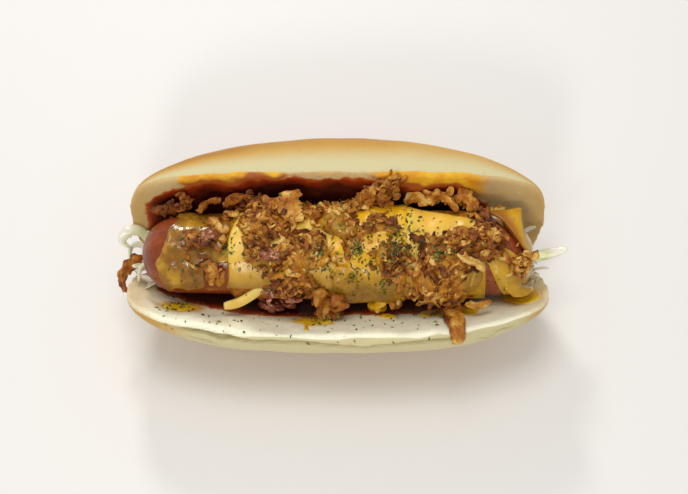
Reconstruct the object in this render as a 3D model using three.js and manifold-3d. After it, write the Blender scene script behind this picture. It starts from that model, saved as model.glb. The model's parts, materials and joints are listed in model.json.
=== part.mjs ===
// A hot dog: a soft roll cut from one side and opened upwards, a thick smoked sausage on a bed of
// shredded cabbage, melted cheese slices over the sausage, and a heap of crisp fried onions on top.
//
// Frame: X along the sausage, +Z up, +Y towards the half of the roll that carries the browned dome.
// The origin lies on the flat foot of the roll, at the middle of its length. Millimetres.

import * as THREE from 'three';
import { mergeVertices } from 'three/addons/utils/BufferGeometryUtils.js';
import Module from 'manifold-3d';

const wasm = await Module();
wasm.setup();

// Driving dimensions of the roll, as if it were shut: depth runs from its uncut back to its cut side
const ROLL_LENGTH = 160;
const ROLL_DEPTH = 64;
const CUT_BELOW_MIDDLE = 7;
const DOME_HALF_HEIGHT = 24.5;
const BASE_HALF_HEIGHT = 24;
const ROLL_SQUARENESS = 2.5;

// How the roll is opened: each half leans from the upright, away from the other, about the same hinge
const HINGE_DEPTH = 7;
const HINGE_HEIGHT = 8;
const HINGE_SIDE = 2.2;
const DOME_LEAN = 12;
const BASE_LEAN_MIDDLE = 52;
const BASE_LEAN_ENDS = 49;
const NOSE_LIFT = 8;
const CUT_FACE_DISH = 1.5;
const LIP_SOFTNESS = 2.6;

// Sausage
const SAUSAGE_LENGTH = 147;
const SAUSAGE_RADIUS = 14.6;
const SAUSAGE_HEIGHT = 39.9;
const SAUSAGE_SHIFT = -8.2;
const SAUSAGE_SKEW = -0.008;
const SAUSAGE_END = 15;

// Layers over the sausage
const GAP = 0.35;
const SAUCE_THICKNESS = 1.3;
const CHEESE_THICKNESS = 2.2;
const CHEESE_RADIUS = SAUSAGE_RADIUS + GAP + 0.25;
const CHEESE_WAVE = 0.25;
const HEAP_RADIUS = CHEESE_RADIUS + 2 * CHEESE_WAVE + CHEESE_THICKNESS + GAP + 0.1;

const HALF_LENGTH = ROLL_LENGTH / 2;
const HALF_DEPTH = ROLL_DEPTH / 2;

const radians = (degrees) => (degrees * Math.PI) / 180;
const mix = (a, b, t) => a + (b - a) * t;

function smoothStep(low, high, value) {
  const t = Math.min(1, Math.max(0, (value - low) / (high - low)));
  return t * t * (3 - 2 * t);
}

// A repeatable random number generator, so that every run gives the same crumbs
function seededRandom(seed) {
  let state = seed;
  return () => {
    state = (state * 1664525 + 1013904223) % 4294967296;
    return state / 4294967296;
  };
}

// Smooth bumps from a few crossed waves, between about -1 and 1
function waves(x, angle, phase) {
  return 0.45 * Math.sin(0.21 * x + 1.9 * angle + phase)
    + 0.33 * Math.sin(0.43 * x - 3.1 * angle + 2.3 * phase)
    + 0.22 * Math.sin(0.83 * x + 4.7 * angle + 0.7 * phase);
}

// The faces between a list of rings that all have the same number of points
function sideFaces(rings) {
  const count = rings[0].length;
  const faces = [];
  for (let i = 0; i + 1 < rings.length; i += 1) {
    for (let j = 0; j < count; j += 1) {
      const a = i * count + j;
      const b = i * count + ((j + 1) % count);
      faces.push(a, b, b + count, a, b + count, a + count);
    }
  }
  return faces;
}

// A closed skin over rings of round section, with a fan over each end
function skinOver(rings, startTip, endTip) {
  const count = rings[0].length;
  const points = rings.flat();
  const faces = sideFaces(rings);
  const centreOf = (ring) => ring.reduce((sum, p) => sum.add(p), new THREE.Vector3()).divideScalar(count);
  const first = points.push(startTip ?? centreOf(rings[0])) - 1;
  const last = points.push(endTip ?? centreOf(rings[rings.length - 1])) - 1;
  const lastRing = (rings.length - 1) * count;
  for (let j = 0; j < count; j += 1) {
    const next = (j + 1) % count;
    faces.push(first, next, j);
    faces.push(last, lastRing + j, lastRing + next);
  }
  return outward(points, faces);
}

// A closed skin over rings of flat section: each runs along one face and back along the other
function sheetOver(rings) {
  const count = rings[0].length;
  const faces = sideFaces(rings);
  const lastRing = (rings.length - 1) * count;
  for (let k = 0; k + 1 < count / 2; k += 1) {
    const [a, b, c, d] = [k, k + 1, count - 2 - k, count - 1 - k];
    faces.push(a, c, b, a, d, c);
    faces.push(lastRing + a, lastRing + b, lastRing + c, lastRing + a, lastRing + c, lastRing + d);
  }
  return outward(rings.flat(), faces);
}

// Puts points and faces into a geometry, turned so that the faces point out
function outward(points, faces) {
  let volume = 0;
  for (let i = 0; i < faces.length; i += 3) {
    const [a, b, c] = [points[faces[i]], points[faces[i + 1]], points[faces[i + 2]]];
    volume += a.dot(new THREE.Vector3().crossVectors(b, c));
  }
  const order = volume < 0 ? faces.slice().reverse() : faces;
  const geometry = new THREE.BufferGeometry();
  const positions = points.flatMap((p) => p.toArray());
  geometry.setAttribute('position', new THREE.Float32BufferAttribute(positions, 3));
  geometry.setIndex(order);
  return geometry;
}

function toSolid(geometry) {
  const bare = geometry.clone();
  bare.deleteAttribute('normal');
  bare.deleteAttribute('uv');
  const merged = mergeVertices(bare, 1e-4);
  return new wasm.Manifold(new wasm.Mesh({
    numProp: 3,
    vertProperties: new Float32Array(merged.attributes.position.array),
    triVerts: new Uint32Array(merged.index.array),
  }));
}

function fromSolid(solid) {
  const mesh = solid.getMesh();
  const geometry = new THREE.BufferGeometry();
  geometry.setAttribute('position', new THREE.BufferAttribute(new Float32Array(mesh.vertProperties), 3));
  geometry.setIndex(new THREE.BufferAttribute(new Uint32Array(mesh.triVerts), 1));
  return geometry;
}

// The largest body of a solid: cutting can leave loose scraps beside it
function largestBody(solid) {
  return solid.decompose().sort((a, b) => b.volume() - a.volume())[0];
}

// Roll

// How much the depth and the height of the roll shrink towards its noses, at a share of the half length
function rollTaper(share, isDome) {
  const t = Math.min(0.9995, Math.abs(share));
  return {
    depth: (1 - t ** 3) ** (1 / 3),
    height: isDome ? (1 - t ** 2) ** 0.75 : (1 - t ** 2.4) ** (1 / 2.4),
  };
}

// The noses stand clear of the ground
function noseLift(share) {
  return NOSE_LIFT * Math.abs(share) ** 3;
}

function baseLean(share) {
  return mix(BASE_LEAN_MIDDLE, BASE_LEAN_ENDS, Math.abs(share) ** 2);
}

// A point of one half, from its depth and its height above the cut, turned to where the opened half stands
function openedPoint(share, isDome, depth, height) {
  const lean = radians(isDome ? DOME_LEAN : baseLean(share));
  const side = isDome ? 1 : -1;
  const fromHinge = depth - HINGE_DEPTH;
  return new THREE.Vector3(
    share * HALF_LENGTH,
    HINGE_SIDE + side * (fromHinge * Math.sin(lean) + height * Math.cos(lean)),
    HINGE_HEIGHT + fromHinge * Math.cos(lean) - height * Math.sin(lean) + noseLift(share),
  );
}

// The D-shaped section of one half in depth and height: the cut face, then the crust, a superellipse arc
function halfSection(share, isDome, count) {
  const taper = rollTaper(share, isDome);
  const reach = HALF_DEPTH * taper.depth;
  const rise = (isDome ? DOME_HALF_HEIGHT : BASE_HALF_HEIGHT) * taper.height;
  const middle = (isDome ? 1 : -1) * CUT_BELOW_MIDDLE * taper.height;
  const power = 2 / ROLL_SQUARENESS;
  const start = -Math.sign(middle) * Math.asin(Math.min(1, Math.abs(middle) / rise) ** (1 / power));
  const outline = [];
  const CRUST_STEPS = 48;
  for (let i = 0; i <= CRUST_STEPS; i += 1) {
    const angle = mix(start, Math.PI - start, i / CRUST_STEPS);
    const across = Math.sign(Math.cos(angle)) * Math.abs(Math.cos(angle)) ** power;
    const up = Math.sign(Math.sin(angle)) * Math.abs(Math.sin(angle)) ** power;
    outline.push(new THREE.Vector2(HALF_DEPTH + reach * across, Math.max(0, middle + rise * up)));
  }
  const CUT_STEPS = 24;
  const back = outline[CRUST_STEPS].x;
  const lip = outline[0].x;
  for (let i = 1; i < CUT_STEPS; i += 1) {
    const t = i / CUT_STEPS;
    const dish = CUT_FACE_DISH * Math.min(1, taper.height * 1.5) * Math.sin(Math.PI * t);
    outline.push(new THREE.Vector2(mix(back, lip, t), dish));
  }
  return evenlySpaced(softened(outline, LIP_SOFTNESS * taper.height), count);
}

// Rounds the corners of a closed outline by averaging it over a length
function softened(outline, length) {
  const fine = evenlySpaced(outline, 120);
  const step = fine[0].distanceTo(fine[1]);
  const spread = Math.max(1, Math.round(length / step));
  return fine.map((_, i) => {
    const sum = new THREE.Vector2();
    for (let k = -spread; k <= spread; k += 1) {
      sum.add(fine[(i + k + fine.length) % fine.length]);
    }
    return sum.divideScalar(2 * spread + 1);
  });
}

// The same closed outline with its points an equal way apart, from its first point on
function evenlySpaced(outline, count) {
  const lengths = [0];
  for (let i = 0; i < outline.length; i += 1) {
    lengths.push(lengths[i] + outline[i].distanceTo(outline[(i + 1) % outline.length]));
  }
  const total = lengths[outline.length];
  const result = [];
  let k = 0;
  for (let i = 0; i < count; i += 1) {
    const goal = (total * i) / count;
    while (lengths[k + 1] < goal) k += 1;
    const t = (goal - lengths[k]) / Math.max(1e-9, lengths[k + 1] - lengths[k]);
    result.push(outline[k].clone().lerp(outline[(k + 1) % outline.length], t));
  }
  return result;
}

// One half of the roll, or a copy of it grown all over by a small amount, to cut its neighbours with
function rollHalf(isDome, grow = 0) {
  const STATIONS = 24;
  const AROUND = 30;
  const rings = [];
  for (let i = 1; i < STATIONS; i += 1) {
    const share = -Math.cos((Math.PI * i) / STATIONS);
    const section = halfSection(share, isDome, AROUND);
    const centre = section.reduce((sum, p) => sum.add(p), new THREE.Vector2()).divideScalar(AROUND);
    rings.push(section.map((p, k) => {
      const before = section[(k + AROUND - 1) % AROUND];
      const after = section[(k + 1) % AROUND];
      const normal = new THREE.Vector2(after.y - before.y, before.x - after.x).normalize();
      if (normal.dot(p.clone().sub(centre)) < 0) normal.negate();
      const moved = p.clone().addScaledVector(normal, grow);
      return openedPoint(share, isDome, moved.x, moved.y);
    }));
  }
  const tip = (share) => {
    const point = openedPoint(share, isDome, HALF_DEPTH, 0);
    point.x += Math.sign(share) * grow;
    return point;
  };
  return toSolid(skinOver(rings, tip(-1), tip(1)));
}

// The uncut back of the roll, which joins the halves under the filling
function rollSpine(grow = 0) {
  const STATIONS = 14;
  const AROUND = 16;
  const HALF_SPINE = 0.8;
  const WIDTH = 16;
  const HEIGHT = 8;
  const rings = [];
  for (let i = 0; i <= STATIONS; i += 1) {
    const share = mix(-HALF_SPINE, HALF_SPINE, i / STATIONS);
    const rise = HALF_DEPTH * (1 - rollTaper(share, true).depth) + noseLift(share);
    const size = Math.sqrt(1 - 0.9 * (share / HALF_SPINE) ** 4);
    const ring = [];
    for (let k = 0; k < AROUND; k += 1) {
      const angle = (2 * Math.PI * k) / AROUND;
      ring.push(new THREE.Vector3(
        share * HALF_LENGTH,
        (WIDTH * size + grow) * Math.cos(angle),
        5.5 + rise + (HEIGHT * size + grow) * Math.sin(angle),
      ));
    }
    rings.push(ring);
  }
  return toSolid(skinOver(rings));
}

function makeRoll(grow = 0) {
  const whole = rollHalf(true, grow).add(rollHalf(false, grow)).add(rollSpine(grow));
  const ground = new THREE.BoxGeometry(300, 300, 60).translate(0, 0, -30 - grow);
  return largestBody(whole.subtract(toSolid(ground)));
}

// Sausage and what is wrapped over it

function sausageCentre(x) {
  return { y: SAUSAGE_SHIFT + SAUSAGE_SKEW * x, z: SAUSAGE_HEIGHT + 1.2 * (x / HALF_LENGTH) ** 2 };
}

// A point round the sausage: the angle is 0 straight up and grows towards the near side, which is -Y
function aroundSausage(x, angle, radius) {
  const centre = sausageCentre(x);
  return new THREE.Vector3(x, centre.y - radius * Math.sin(angle), centre.z + radius * Math.cos(angle));
}

// How thick the mustard lies at a place on the sausage, from 0 to 1: a coat near each end, with drips
function sauceCover(x, angle) {
  const nearDrip = 0.35 * Math.sin(0.5 * x + 1) + 0.2 * Math.sin(0.9 * x);
  const edge = smoothStep(radians(-72), radians(-50), angle)
    * (1 - smoothStep(radians(80), radians(104), angle + radians(18) * nearDrip));
  const left = smoothStep(-66, -61, x + 3 * Math.sin(2.2 * angle)) * (1 - smoothStep(-46, -42, x));
  const right = smoothStep(50, 55, x - 4 * Math.sin(1.7 * angle + 0.6))
    * (1 - smoothStep(66, 71, x + 3 * Math.sin(2.5 * angle)));
  return edge * Math.max(left, right);
}

function makeSausage(grow = 0) {
  const STATIONS = 28;
  const AROUND = 24;
  const half = SAUSAGE_LENGTH / 2;
  const rings = [];
  for (let i = 1; i < STATIONS; i += 1) {
    const x = -Math.cos((Math.PI * i) / STATIONS) * half;
    const fromStraight = Math.max(0, Math.abs(x) - (half - SAUSAGE_END)) / SAUSAGE_END;
    const radius = SAUSAGE_RADIUS * Math.sqrt(1 - fromStraight ** 2.2);
    const ring = [];
    for (let k = 0; k < AROUND; k += 1) {
      const angle = -Math.PI + (2 * Math.PI * k) / AROUND;
      ring.push(aroundSausage(x, angle, radius + SAUCE_THICKNESS * sauceCover(x, angle) + grow));
    }
    rings.push(ring);
  }
  return toSolid(skinOver(rings, aroundSausage(-half - grow, 0, 0), aroundSausage(half + grow, 0, 0)));
}

// A sheet bent round the sausage. Its edges are functions of 0 to 1 along X, its radius of place
function wrappedSheet({ from, to, farAngle, nearAngle, innerRadius, thickness, steps }, grow = 0) {
  const [alongSteps, roundSteps] = steps;
  const rings = [];
  for (let i = 0; i <= alongSteps; i += 1) {
    const t = i / alongSteps;
    const outer = [];
    const inner = [];
    for (let k = 0; k <= roundSteps; k += 1) {
      const s = k / roundSteps;
      const stretch = grow / innerRadius(0, 0);
      const angle = mix(radians(farAngle(t)) - stretch, radians(nearAngle(t)) + stretch, s);
      const x = mix(from(s) - grow, to(s) + grow, t);
      const base = innerRadius(x, angle);
      outer.push(aroundSausage(x, angle, base + thickness(x, angle) + grow));
      inner.push(aroundSausage(x, angle, base - grow));
    }
    rings.push([...outer, ...inner.reverse()]);
  }
  return toSolid(sheetOver(rings));
}

const cheeseThickness = () => CHEESE_THICKNESS;

const cheeseSlices = {
  // The left slice, whose near corner has slipped and curls out over the gap
  cheese_left: {
    from: (s) => mix(-37.5, -41.5, s),
    to: () => -4,
    farAngle: () => -58,
    nearAngle: (t) => 74 + 4 * t,
    innerRadius: (x, angle) => CHEESE_RADIUS + CHEESE_WAVE * (1 + waves(x, angle, 1.2)),
    thickness: cheeseThickness,
    steps: [7, 12],
  },
  // The middle slice hangs down lowest on the near side
  cheese_middle: {
    from: () => -3.2,
    to: () => 24.6,
    farAngle: () => -68,
    nearAngle: (t) => 104 + 10 * Math.sin(Math.PI * t),
    innerRadius: (x, angle) => CHEESE_RADIUS + CHEESE_WAVE * (1 + waves(x, angle, 2.6)),
    thickness: cheeseThickness,
    steps: [6, 14],
  },
  // The right slice lies askew, so that its far edge runs down to a corner
  cheese_right: {
    from: () => 25.4,
    to: (s) => 57 - 5 * s,
    farAngle: (t) => mix(-50, -14, t ** 1.4),
    nearAngle: (t) => mix(88, 70, t),
    innerRadius: (x, angle) => CHEESE_RADIUS + CHEESE_WAVE * (1 + waves(x, angle, 4.1))
      + SAUCE_THICKNESS * smoothStep(45, 50, x),
    thickness: cheeseThickness,
    steps: [7, 12],
  },
};

// Bent strips, for onion, cabbage and the curled corner of a slice

// A strip along a curve through the given points, with a flat section that turns from roll to roll + twist
function bentStrip({ points, width, thickness, roll = 0, twist = 0, steps = 5, taper = 0.45, grow = 0 }) {
  const curve = new THREE.CatmullRomCurve3(points);
  const rings = [];
  for (let i = 0; i <= steps; i += 1) {
    const t = i / steps;
    const centre = curve.getPoint(t);
    const ahead = curve.getTangent(t).normalize();
    const side = new THREE.Vector3().crossVectors(ahead, new THREE.Vector3(0, 0, 1));
    if (side.lengthSq() < 0.01) side.set(0, 1, 0);
    side.normalize().applyAxisAngle(ahead, roll + twist * t);
    const up = new THREE.Vector3().crossVectors(side, ahead).normalize();
    const size = 1 - taper * Math.abs(2 * t - 1) ** 3;
    const [w, h] = [(width * size) / 2 + grow, (thickness * size) / 2 + grow];
    rings.push([[-w, -h], [w, -h], [w, h], [-w, h]].map(([a, b]) => (
      centre.clone().addScaledVector(side, a).addScaledVector(up, b)
    )));
  }
  return toSolid(sheetOver(rings));
}

// The curled corner of the left slice, which sticks out under its near edge
function cheeseCurl(grow = 0) {
  const points = [
    aroundSausage(-28, radians(70), CHEESE_RADIUS + 1.6),
    aroundSausage(-32, radians(84), CHEESE_RADIUS + 2.4),
    aroundSausage(-37, radians(92), CHEESE_RADIUS + 4.2),
    aroundSausage(-42, radians(90), CHEESE_RADIUS + 6),
  ];
  return bentStrip({ points, width: 5.5, thickness: 2.4, roll: radians(60), steps: 5, taper: 0.2, grow });
}

// The corner of the right slice, which stands up against the far half
function cheeseFlap(grow = 0) {
  const points = [
    aroundSausage(49, radians(-24), CHEESE_RADIUS + 2.6),
    aroundSausage(56, radians(-34), CHEESE_RADIUS + 3.6),
    aroundSausage(62, radians(-46), CHEESE_RADIUS + 5),
    aroundSausage(68, radians(-58), CHEESE_RADIUS + 6),
  ];
  const shape = { width: 13, thickness: 2, roll: radians(-52), twist: -0.3, steps: 6, taper: 0.25 };
  return bentStrip({ points, ...shape, grow });
}

// Onion heap

// How far the far cut face lets anything stand out from the sausage at an angle
function roomToFarFace(x, angle) {
  const lean = radians(DOME_LEAN);
  const centre = sausageCentre(x);
  const away = (HINGE_SIDE - centre.y) * Math.cos(lean)
    + (centre.z - HINGE_HEIGHT - noseLift(x / HALF_LENGTH)) * Math.sin(lean);
  const facing = -Math.sin(angle) * Math.cos(lean) - Math.cos(angle) * Math.sin(lean);
  return facing > 0.05 ? (away - 0.6) / facing : 100;
}

// The heap's edges: it leaves the far part of the right slice and the near part of the middle one bare
const heapCore = {
  from: (s) => -45 + 5 * Math.sin(7 * s),
  to: (s) => 56 + 3 * Math.sin(9 * s + 1),
  farAngle: (t) => mix(-62, 4, smoothStep(0.5, 0.72, t)) + 5 * Math.sin(31 * t),
  nearAngle: (t) => 44 + 22 * smoothStep(0.14, 0.24, t) * (1 - smoothStep(0.38, 0.46, t))
    + 40 * smoothStep(0.68, 0.8, t) * (1 - smoothStep(0.92, 1, t)) + 5 * Math.sin(37 * t),
  innerRadius: (x) => HEAP_RADIUS + SAUCE_THICKNESS * smoothStep(43, 48, x),
  thickness: (x, angle) => Math.min(
    2.3 + 1.3 * waves(x * 2.3, angle, 0.4),
    Math.max(0.9, roomToFarFace(x, angle) - HEAP_RADIUS - SAUCE_THICKNESS * smoothStep(43, 48, x)),
  ),
  steps: [28, 9],
};

// An onion strip lying on the heap: where it is, which way it runs, how far its ends lift and its size
function onionStrip({ x, angle, radius, heading, pitch, length, width, thickness, curl, roll }) {
  const centre = aroundSausage(x, radians(angle), radius);
  const out = aroundSausage(x, radians(angle), radius + 1).sub(centre);
  const along = new THREE.Vector3(1, 0, 0);
  const round = new THREE.Vector3().crossVectors(out, along);
  const run = along.multiplyScalar(Math.cos(heading)).addScaledVector(round, Math.sin(heading));
  run.multiplyScalar(Math.cos(pitch)).addScaledVector(out, Math.sin(pitch));
  const bend = new THREE.Vector3().crossVectors(run, round).normalize();
  const points = [-0.5, -0.2, 0.15, 0.5].map((t) => (
    centre.clone().addScaledVector(run, length * t)
      .addScaledVector(out, curl * (0.25 - t * t) * length)
      .addScaledVector(bend, 0.15 * curl * length * Math.sin(5 * t))
  ));
  return bentStrip({ points, width, thickness, roll, steps: 4 });
}

// Strips spread over the heap by a rule, and the few large ones that stand out
function heapStrips() {
  const random = seededRandom(20);
  const between = (low, high) => mix(low, high, random());
  const strips = [];
  const ROWS = 4;
  const PER_ROW = 12;
  for (let row = 0; row < ROWS; row += 1) {
    for (let i = 0; i < PER_ROW; i += 1) {
      const t = (i + between(0.1, 0.9)) / PER_ROW;
      const across = (row + between(0, 1)) / ROWS;
      strips.push({
        x: mix(-44, 56, t),
        angle: mix(heapCore.farAngle(t) + 4, heapCore.nearAngle(t) - 2, across),
        radius: HEAP_RADIUS + between(2.6, 4.6),
        heading: between(0, Math.PI),
        pitch: between(-0.5, 0.5),
        length: between(6, 12),
        width: between(2.4, 4.6),
        thickness: between(1.1, 1.7),
        curl: between(0.2, 0.8),
        roll: between(-0.9, 0.9),
      });
    }
  }
  const stands = { radius: HEAP_RADIUS + 6.5, heading: 1.5, pitch: 0.8, length: 17, width: 8, roll: 0.1 };
  const leans = { radius: HEAP_RADIUS + 4.8, heading: 1.2, pitch: 0.75, length: 14, width: 8, roll: 0.5 };
  const curls = { radius: HEAP_RADIUS + 2.8, heading: 0.5, pitch: 0.4, length: 12, width: 4.5, roll: 0.3 };
  const large = { curl: 0.25, thickness: 1.5 };
  strips.push({ ...large, ...stands, x: -17, angle: -34 });
  strips.push({ ...large, ...leans, x: 8, angle: -55 });
  strips.push({ ...large, ...curls, x: -35, angle: -52 });
  strips.push({ ...large, ...curls, x: -26, angle: -58, heading: 1.1 });
  strips.push({ ...large, ...curls, x: 36, angle: 80, heading: 0.9, length: 15, width: 6 });
  strips.push({ ...large, ...curls, x: 52, angle: 66, heading: 0.2, length: 13 });
  return strips;
}

// A point over one half's cut face or crust, from its place along X
function byRoll(x, isDome, fromHinge, height) {
  return openedPoint(x / HALF_LENGTH, isDome, HINGE_DEPTH + fromHinge, height);
}

// The clump that has slid down over the near cut face, still joined to the heap
function heapBridge() {
  const points = [
    aroundSausage(-5, radians(52), HEAP_RADIUS + 1.6),
    aroundSausage(-4, radians(80), HEAP_RADIUS + 1.9),
    aroundSausage(-3.5, radians(104), HEAP_RADIUS + 2.6),
    byRoll(-3, false, 38, -2),
    byRoll(-2.5, false, 44, -1.8),
  ];
  return bentStrip({ points, width: 10, thickness: 2.6, roll: 0, twist: 0.2, steps: 8, taper: 0.3 });
}

// The large strip that lies on the near cut face and hangs over its lip
function onionTail(grow = 0) {
  const points = [
    byRoll(41.5, false, 35, -2.3),
    byRoll(43.2, false, 44, -2.4),
    byRoll(45, false, 52, -2.4),
    byRoll(46.2, false, 56.6, 1.4),
    byRoll(46.8, false, 56, 6.5),
  ];
  return bentStrip({ points, width: 8.5, thickness: 3.4, twist: 0.2, steps: 9, taper: 0.4, grow });
}

// The curl that has come out between the noses at the left end
function onionCurl(grow = 0) {
  const points = [
    new THREE.Vector3(-75, -3.5, 33),
    new THREE.Vector3(-80, -5.5, 33),
    new THREE.Vector3(-82.6, -9.5, 29),
    new THREE.Vector3(-82.4, -13.5, 23.5),
  ];
  const shape = { width: 4.4, thickness: 2.6, roll: 0.6, twist: 0.9, steps: 7, taper: 0.4 };
  return bentStrip({ points, ...shape, grow });
}

// A scrap of bacon on the near cut face, under the edge of the slice
function baconBit(grow = 0) {
  const points = [
    byRoll(-25.5, false, 23, -2.4),
    byRoll(-25, false, 30, -2.1),
    byRoll(-26, false, 37, -2),
  ];
  return bentStrip({ points, width: 9, thickness: 3, roll: 0, twist: 0.2, steps: 5, taper: 0.5, grow });
}

// Cabbage bed

// The packed middle of the bed: it fills the fold of the roll under the sausage, and its ends are round
function cabbageCore() {
  const STATIONS = 16;
  const BOTTOM = 13;
  const rings = [];
  for (let i = 0; i <= STATIONS; i += 1) {
    const share = -0.92 * Math.cos((Math.PI * i) / STATIONS);
    const lift = noseLift(share);
    const end = Math.max(0, (Math.abs(share) - 0.62) / 0.3);
    const size = Math.sqrt(Math.max(0.05, 1 - end ** 2.4));
    const onFace = (isDome, z) => {
      const lean = radians(isDome ? DOME_LEAN : baseLean(share));
      return HINGE_SIDE + (isDome ? 1 : -1) * ((z - HINGE_HEIGHT - lift) * Math.tan(lean) - 0.2);
    };
    const bottom = BOTTOM + lift + 5 * end;
    const corners = [
      [onFace(false, bottom), bottom],
      [onFace(true, bottom), bottom],
      [onFace(true, 23), 23],
      [onFace(true, 31), 31],
      [onFace(true, 31) - 7, 34],
      [SAUSAGE_SHIFT, 30],
      [onFace(false, 25) + 2, 25],
      [onFace(false, 21), 21],
    ];
    const middle = new THREE.Vector3(share * HALF_LENGTH, SAUSAGE_SHIFT + 3, 26);
    rings.push(corners.map(([y, z]) => (
      new THREE.Vector3(share * HALF_LENGTH, y, z).lerp(middle, 1 - size)
    )));
  }
  return toSolid(skinOver(rings));
}

// Shreds that come out at one end of the bed, each in its own curve
function cabbageShreds(end) {
  const random = seededRandom(end < 0 ? 5 : 11);
  const between = (low, high) => mix(low, high, random());
  const shreds = [];
  const COUNT = 7;
  for (let i = 0; i < COUNT; i += 1) {
    const y = mix(-13, 1, i / (COUNT - 1));
    const z = 27 + between(-2, 4);
    const reach = between(4, 8);
    const points = [
      new THREE.Vector3(end * 60, SAUSAGE_SHIFT + 0.5 * (y - SAUSAGE_SHIFT), 24),
      new THREE.Vector3(end * 69, y, z),
      new THREE.Vector3(end * (71 + reach * 0.7), y + between(-2, 2), z + between(-2, 3)),
      new THREE.Vector3(end * (71 + reach), y + between(-3, 3), z + between(-3, 4)),
    ];
    const shape = { width: between(1.8, 3), thickness: 1, roll: between(-1, 1), twist: between(-1.5, 1.5) };
    shreds.push(bentStrip({ points, ...shape, steps: 4 }));
  }
  return shreds;
}

// The long shreds that show best: curls behind the left end, and one that reaches out at the right
function longShreds() {
  const left = [[3.5, 0], [0, 0.8], [5, 1.7]].map(([y, turn]) => bentStrip({
    points: [
      new THREE.Vector3(-60, y * 0.5 - 3, 24),
      new THREE.Vector3(-72, y - 1, 28 + turn),
      new THREE.Vector3(-79, y - 0.5, 33 + 2 * turn),
      new THREE.Vector3(-81, y - 1, 37 + turn),
      new THREE.Vector3(-77.5, y - 3, 38.5 + turn),
    ],
    width: 2.6, thickness: 1, roll: turn, twist: 1.2, steps: 7,
  }));
  const right = bentStrip({
    points: [
      new THREE.Vector3(60, -6, 24),
      new THREE.Vector3(72, -3.5, 28.5),
      new THREE.Vector3(81, -2, 31),
      new THREE.Vector3(88.5, -0.5, 32.5),
    ],
    width: 4, thickness: 1, roll: 0.3, twist: 0.5, steps: 7,
  });
  return [...left, right];
}

// Assembly

const roll = makeRoll();
const rollClear = makeRoll(GAP);
const sausage = makeSausage();
const sausageClear = makeSausage(GAP);

const cheese = {};
let cheeseClear = sausageClear;
for (const [name, slice] of Object.entries(cheeseSlices)) {
  let solid = wrappedSheet(slice);
  if (name === 'cheese_left') solid = solid.add(cheeseCurl());
  if (name === 'cheese_right') solid = solid.add(cheeseFlap());
  cheese[name] = largestBody(solid.subtract(cheeseClear).subtract(rollClear));
  cheeseClear = cheeseClear.add(wrappedSheet(slice, GAP));
}

// The strips are trimmed one by one, a little above the core's underside, before they are joined to it
const STRIP_UNDERSIDE = 0.8;
const underHeap = wrappedSheet({
  ...heapCore,
  from: () => -70,
  to: () => 70,
  farAngle: () => -100,
  nearAngle: () => 120,
  innerRadius: () => 3,
  thickness: (x, angle) => heapCore.innerRadius(x, angle) + STRIP_UNDERSIDE - 3,
  steps: [12, 26],
});
let neighbours = rollClear.add(underHeap);
for (const neighbour of [cheeseCurl, cheeseFlap, onionTail, baconBit]) {
  neighbours = neighbours.add(neighbour(GAP));
}
let heap = wrappedSheet(heapCore).subtract(cheeseFlap(GAP));
heap = heap.add(heapBridge().subtract(neighbours));
for (const strip of heapStrips()) {
  const trimmed = onionStrip(strip).subtract(neighbours);
  if (!trimmed.isEmpty()) heap = heap.add(largestBody(trimmed));
}
heap = largestBody(heap);

let cabbage = cabbageCore();
for (const shred of [...cabbageShreds(-1), ...cabbageShreds(1), ...longShreds()]) {
  cabbage = cabbage.add(shred);
}
cabbage = cabbage.subtract(sausageClear).subtract(rollClear);
for (const neighbour of [onionCurl, baconBit]) cabbage = cabbage.subtract(neighbour(GAP));
cabbage = largestBody(cabbage);

const tail = largestBody(onionTail().subtract(rollClear));
const curl = largestBody(onionCurl().subtract(rollClear).subtract(sausageClear));
const bacon = largestBody(baconBit().subtract(cheeseClear).subtract(rollClear));

const LOOKS = {
  bun: { solid: roll, color: 0xe3cf9c, roughness: 0.75 },
  sausage: { solid: sausage, color: 0xb0603a, roughness: 0.35 },
  cabbage: { solid: cabbage, color: 0xdfe3c4, roughness: 0.5 },
  cheese_left: { solid: cheese.cheese_left, color: 0xe9b23c, roughness: 0.4 },
  cheese_middle: { solid: cheese.cheese_middle, color: 0xe8ab2c, roughness: 0.35 },
  cheese_right: { solid: cheese.cheese_right, color: 0xf0bf5c, roughness: 0.45 },
  fried_onions: { solid: heap, color: 0xa9713a, roughness: 0.6 },
  onion_tail: { solid: tail, color: 0xb5762f, roughness: 0.55 },
  onion_curl: { solid: curl, color: 0xa87438, roughness: 0.55 },
  bacon_bit: { solid: bacon, color: 0x8c4a30, roughness: 0.45 },
};

const hotDog = new THREE.Group();
for (const [name, { solid, color, roughness }] of Object.entries(LOOKS)) {
  const material = new THREE.MeshStandardMaterial({ color, roughness, metalness: 0 });
  const mesh = new THREE.Mesh(fromSolid(solid), material);
  mesh.name = name;
  hotDog.add(mesh);
}

export default hotDog;
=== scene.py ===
# %% [markdown]
# A hot dog as it is served: a soft roll cut along one side and opened upwards, a thick sausage on shredded
# cabbage, melted cheese, mustard, a heap of crisp fried onions, bits of bacon and dried parsley.
# The packed solids are the frame. Each step below makes one food over its solid, worked out with numpy from
# the same dimensions as the solids, in millimetres, and turned into metres when the mesh is made.

# %% Load the frame
import json
import math
import bpy
import numpy as np
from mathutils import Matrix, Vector
from mathutils.bvhtree import BVHTree

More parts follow.
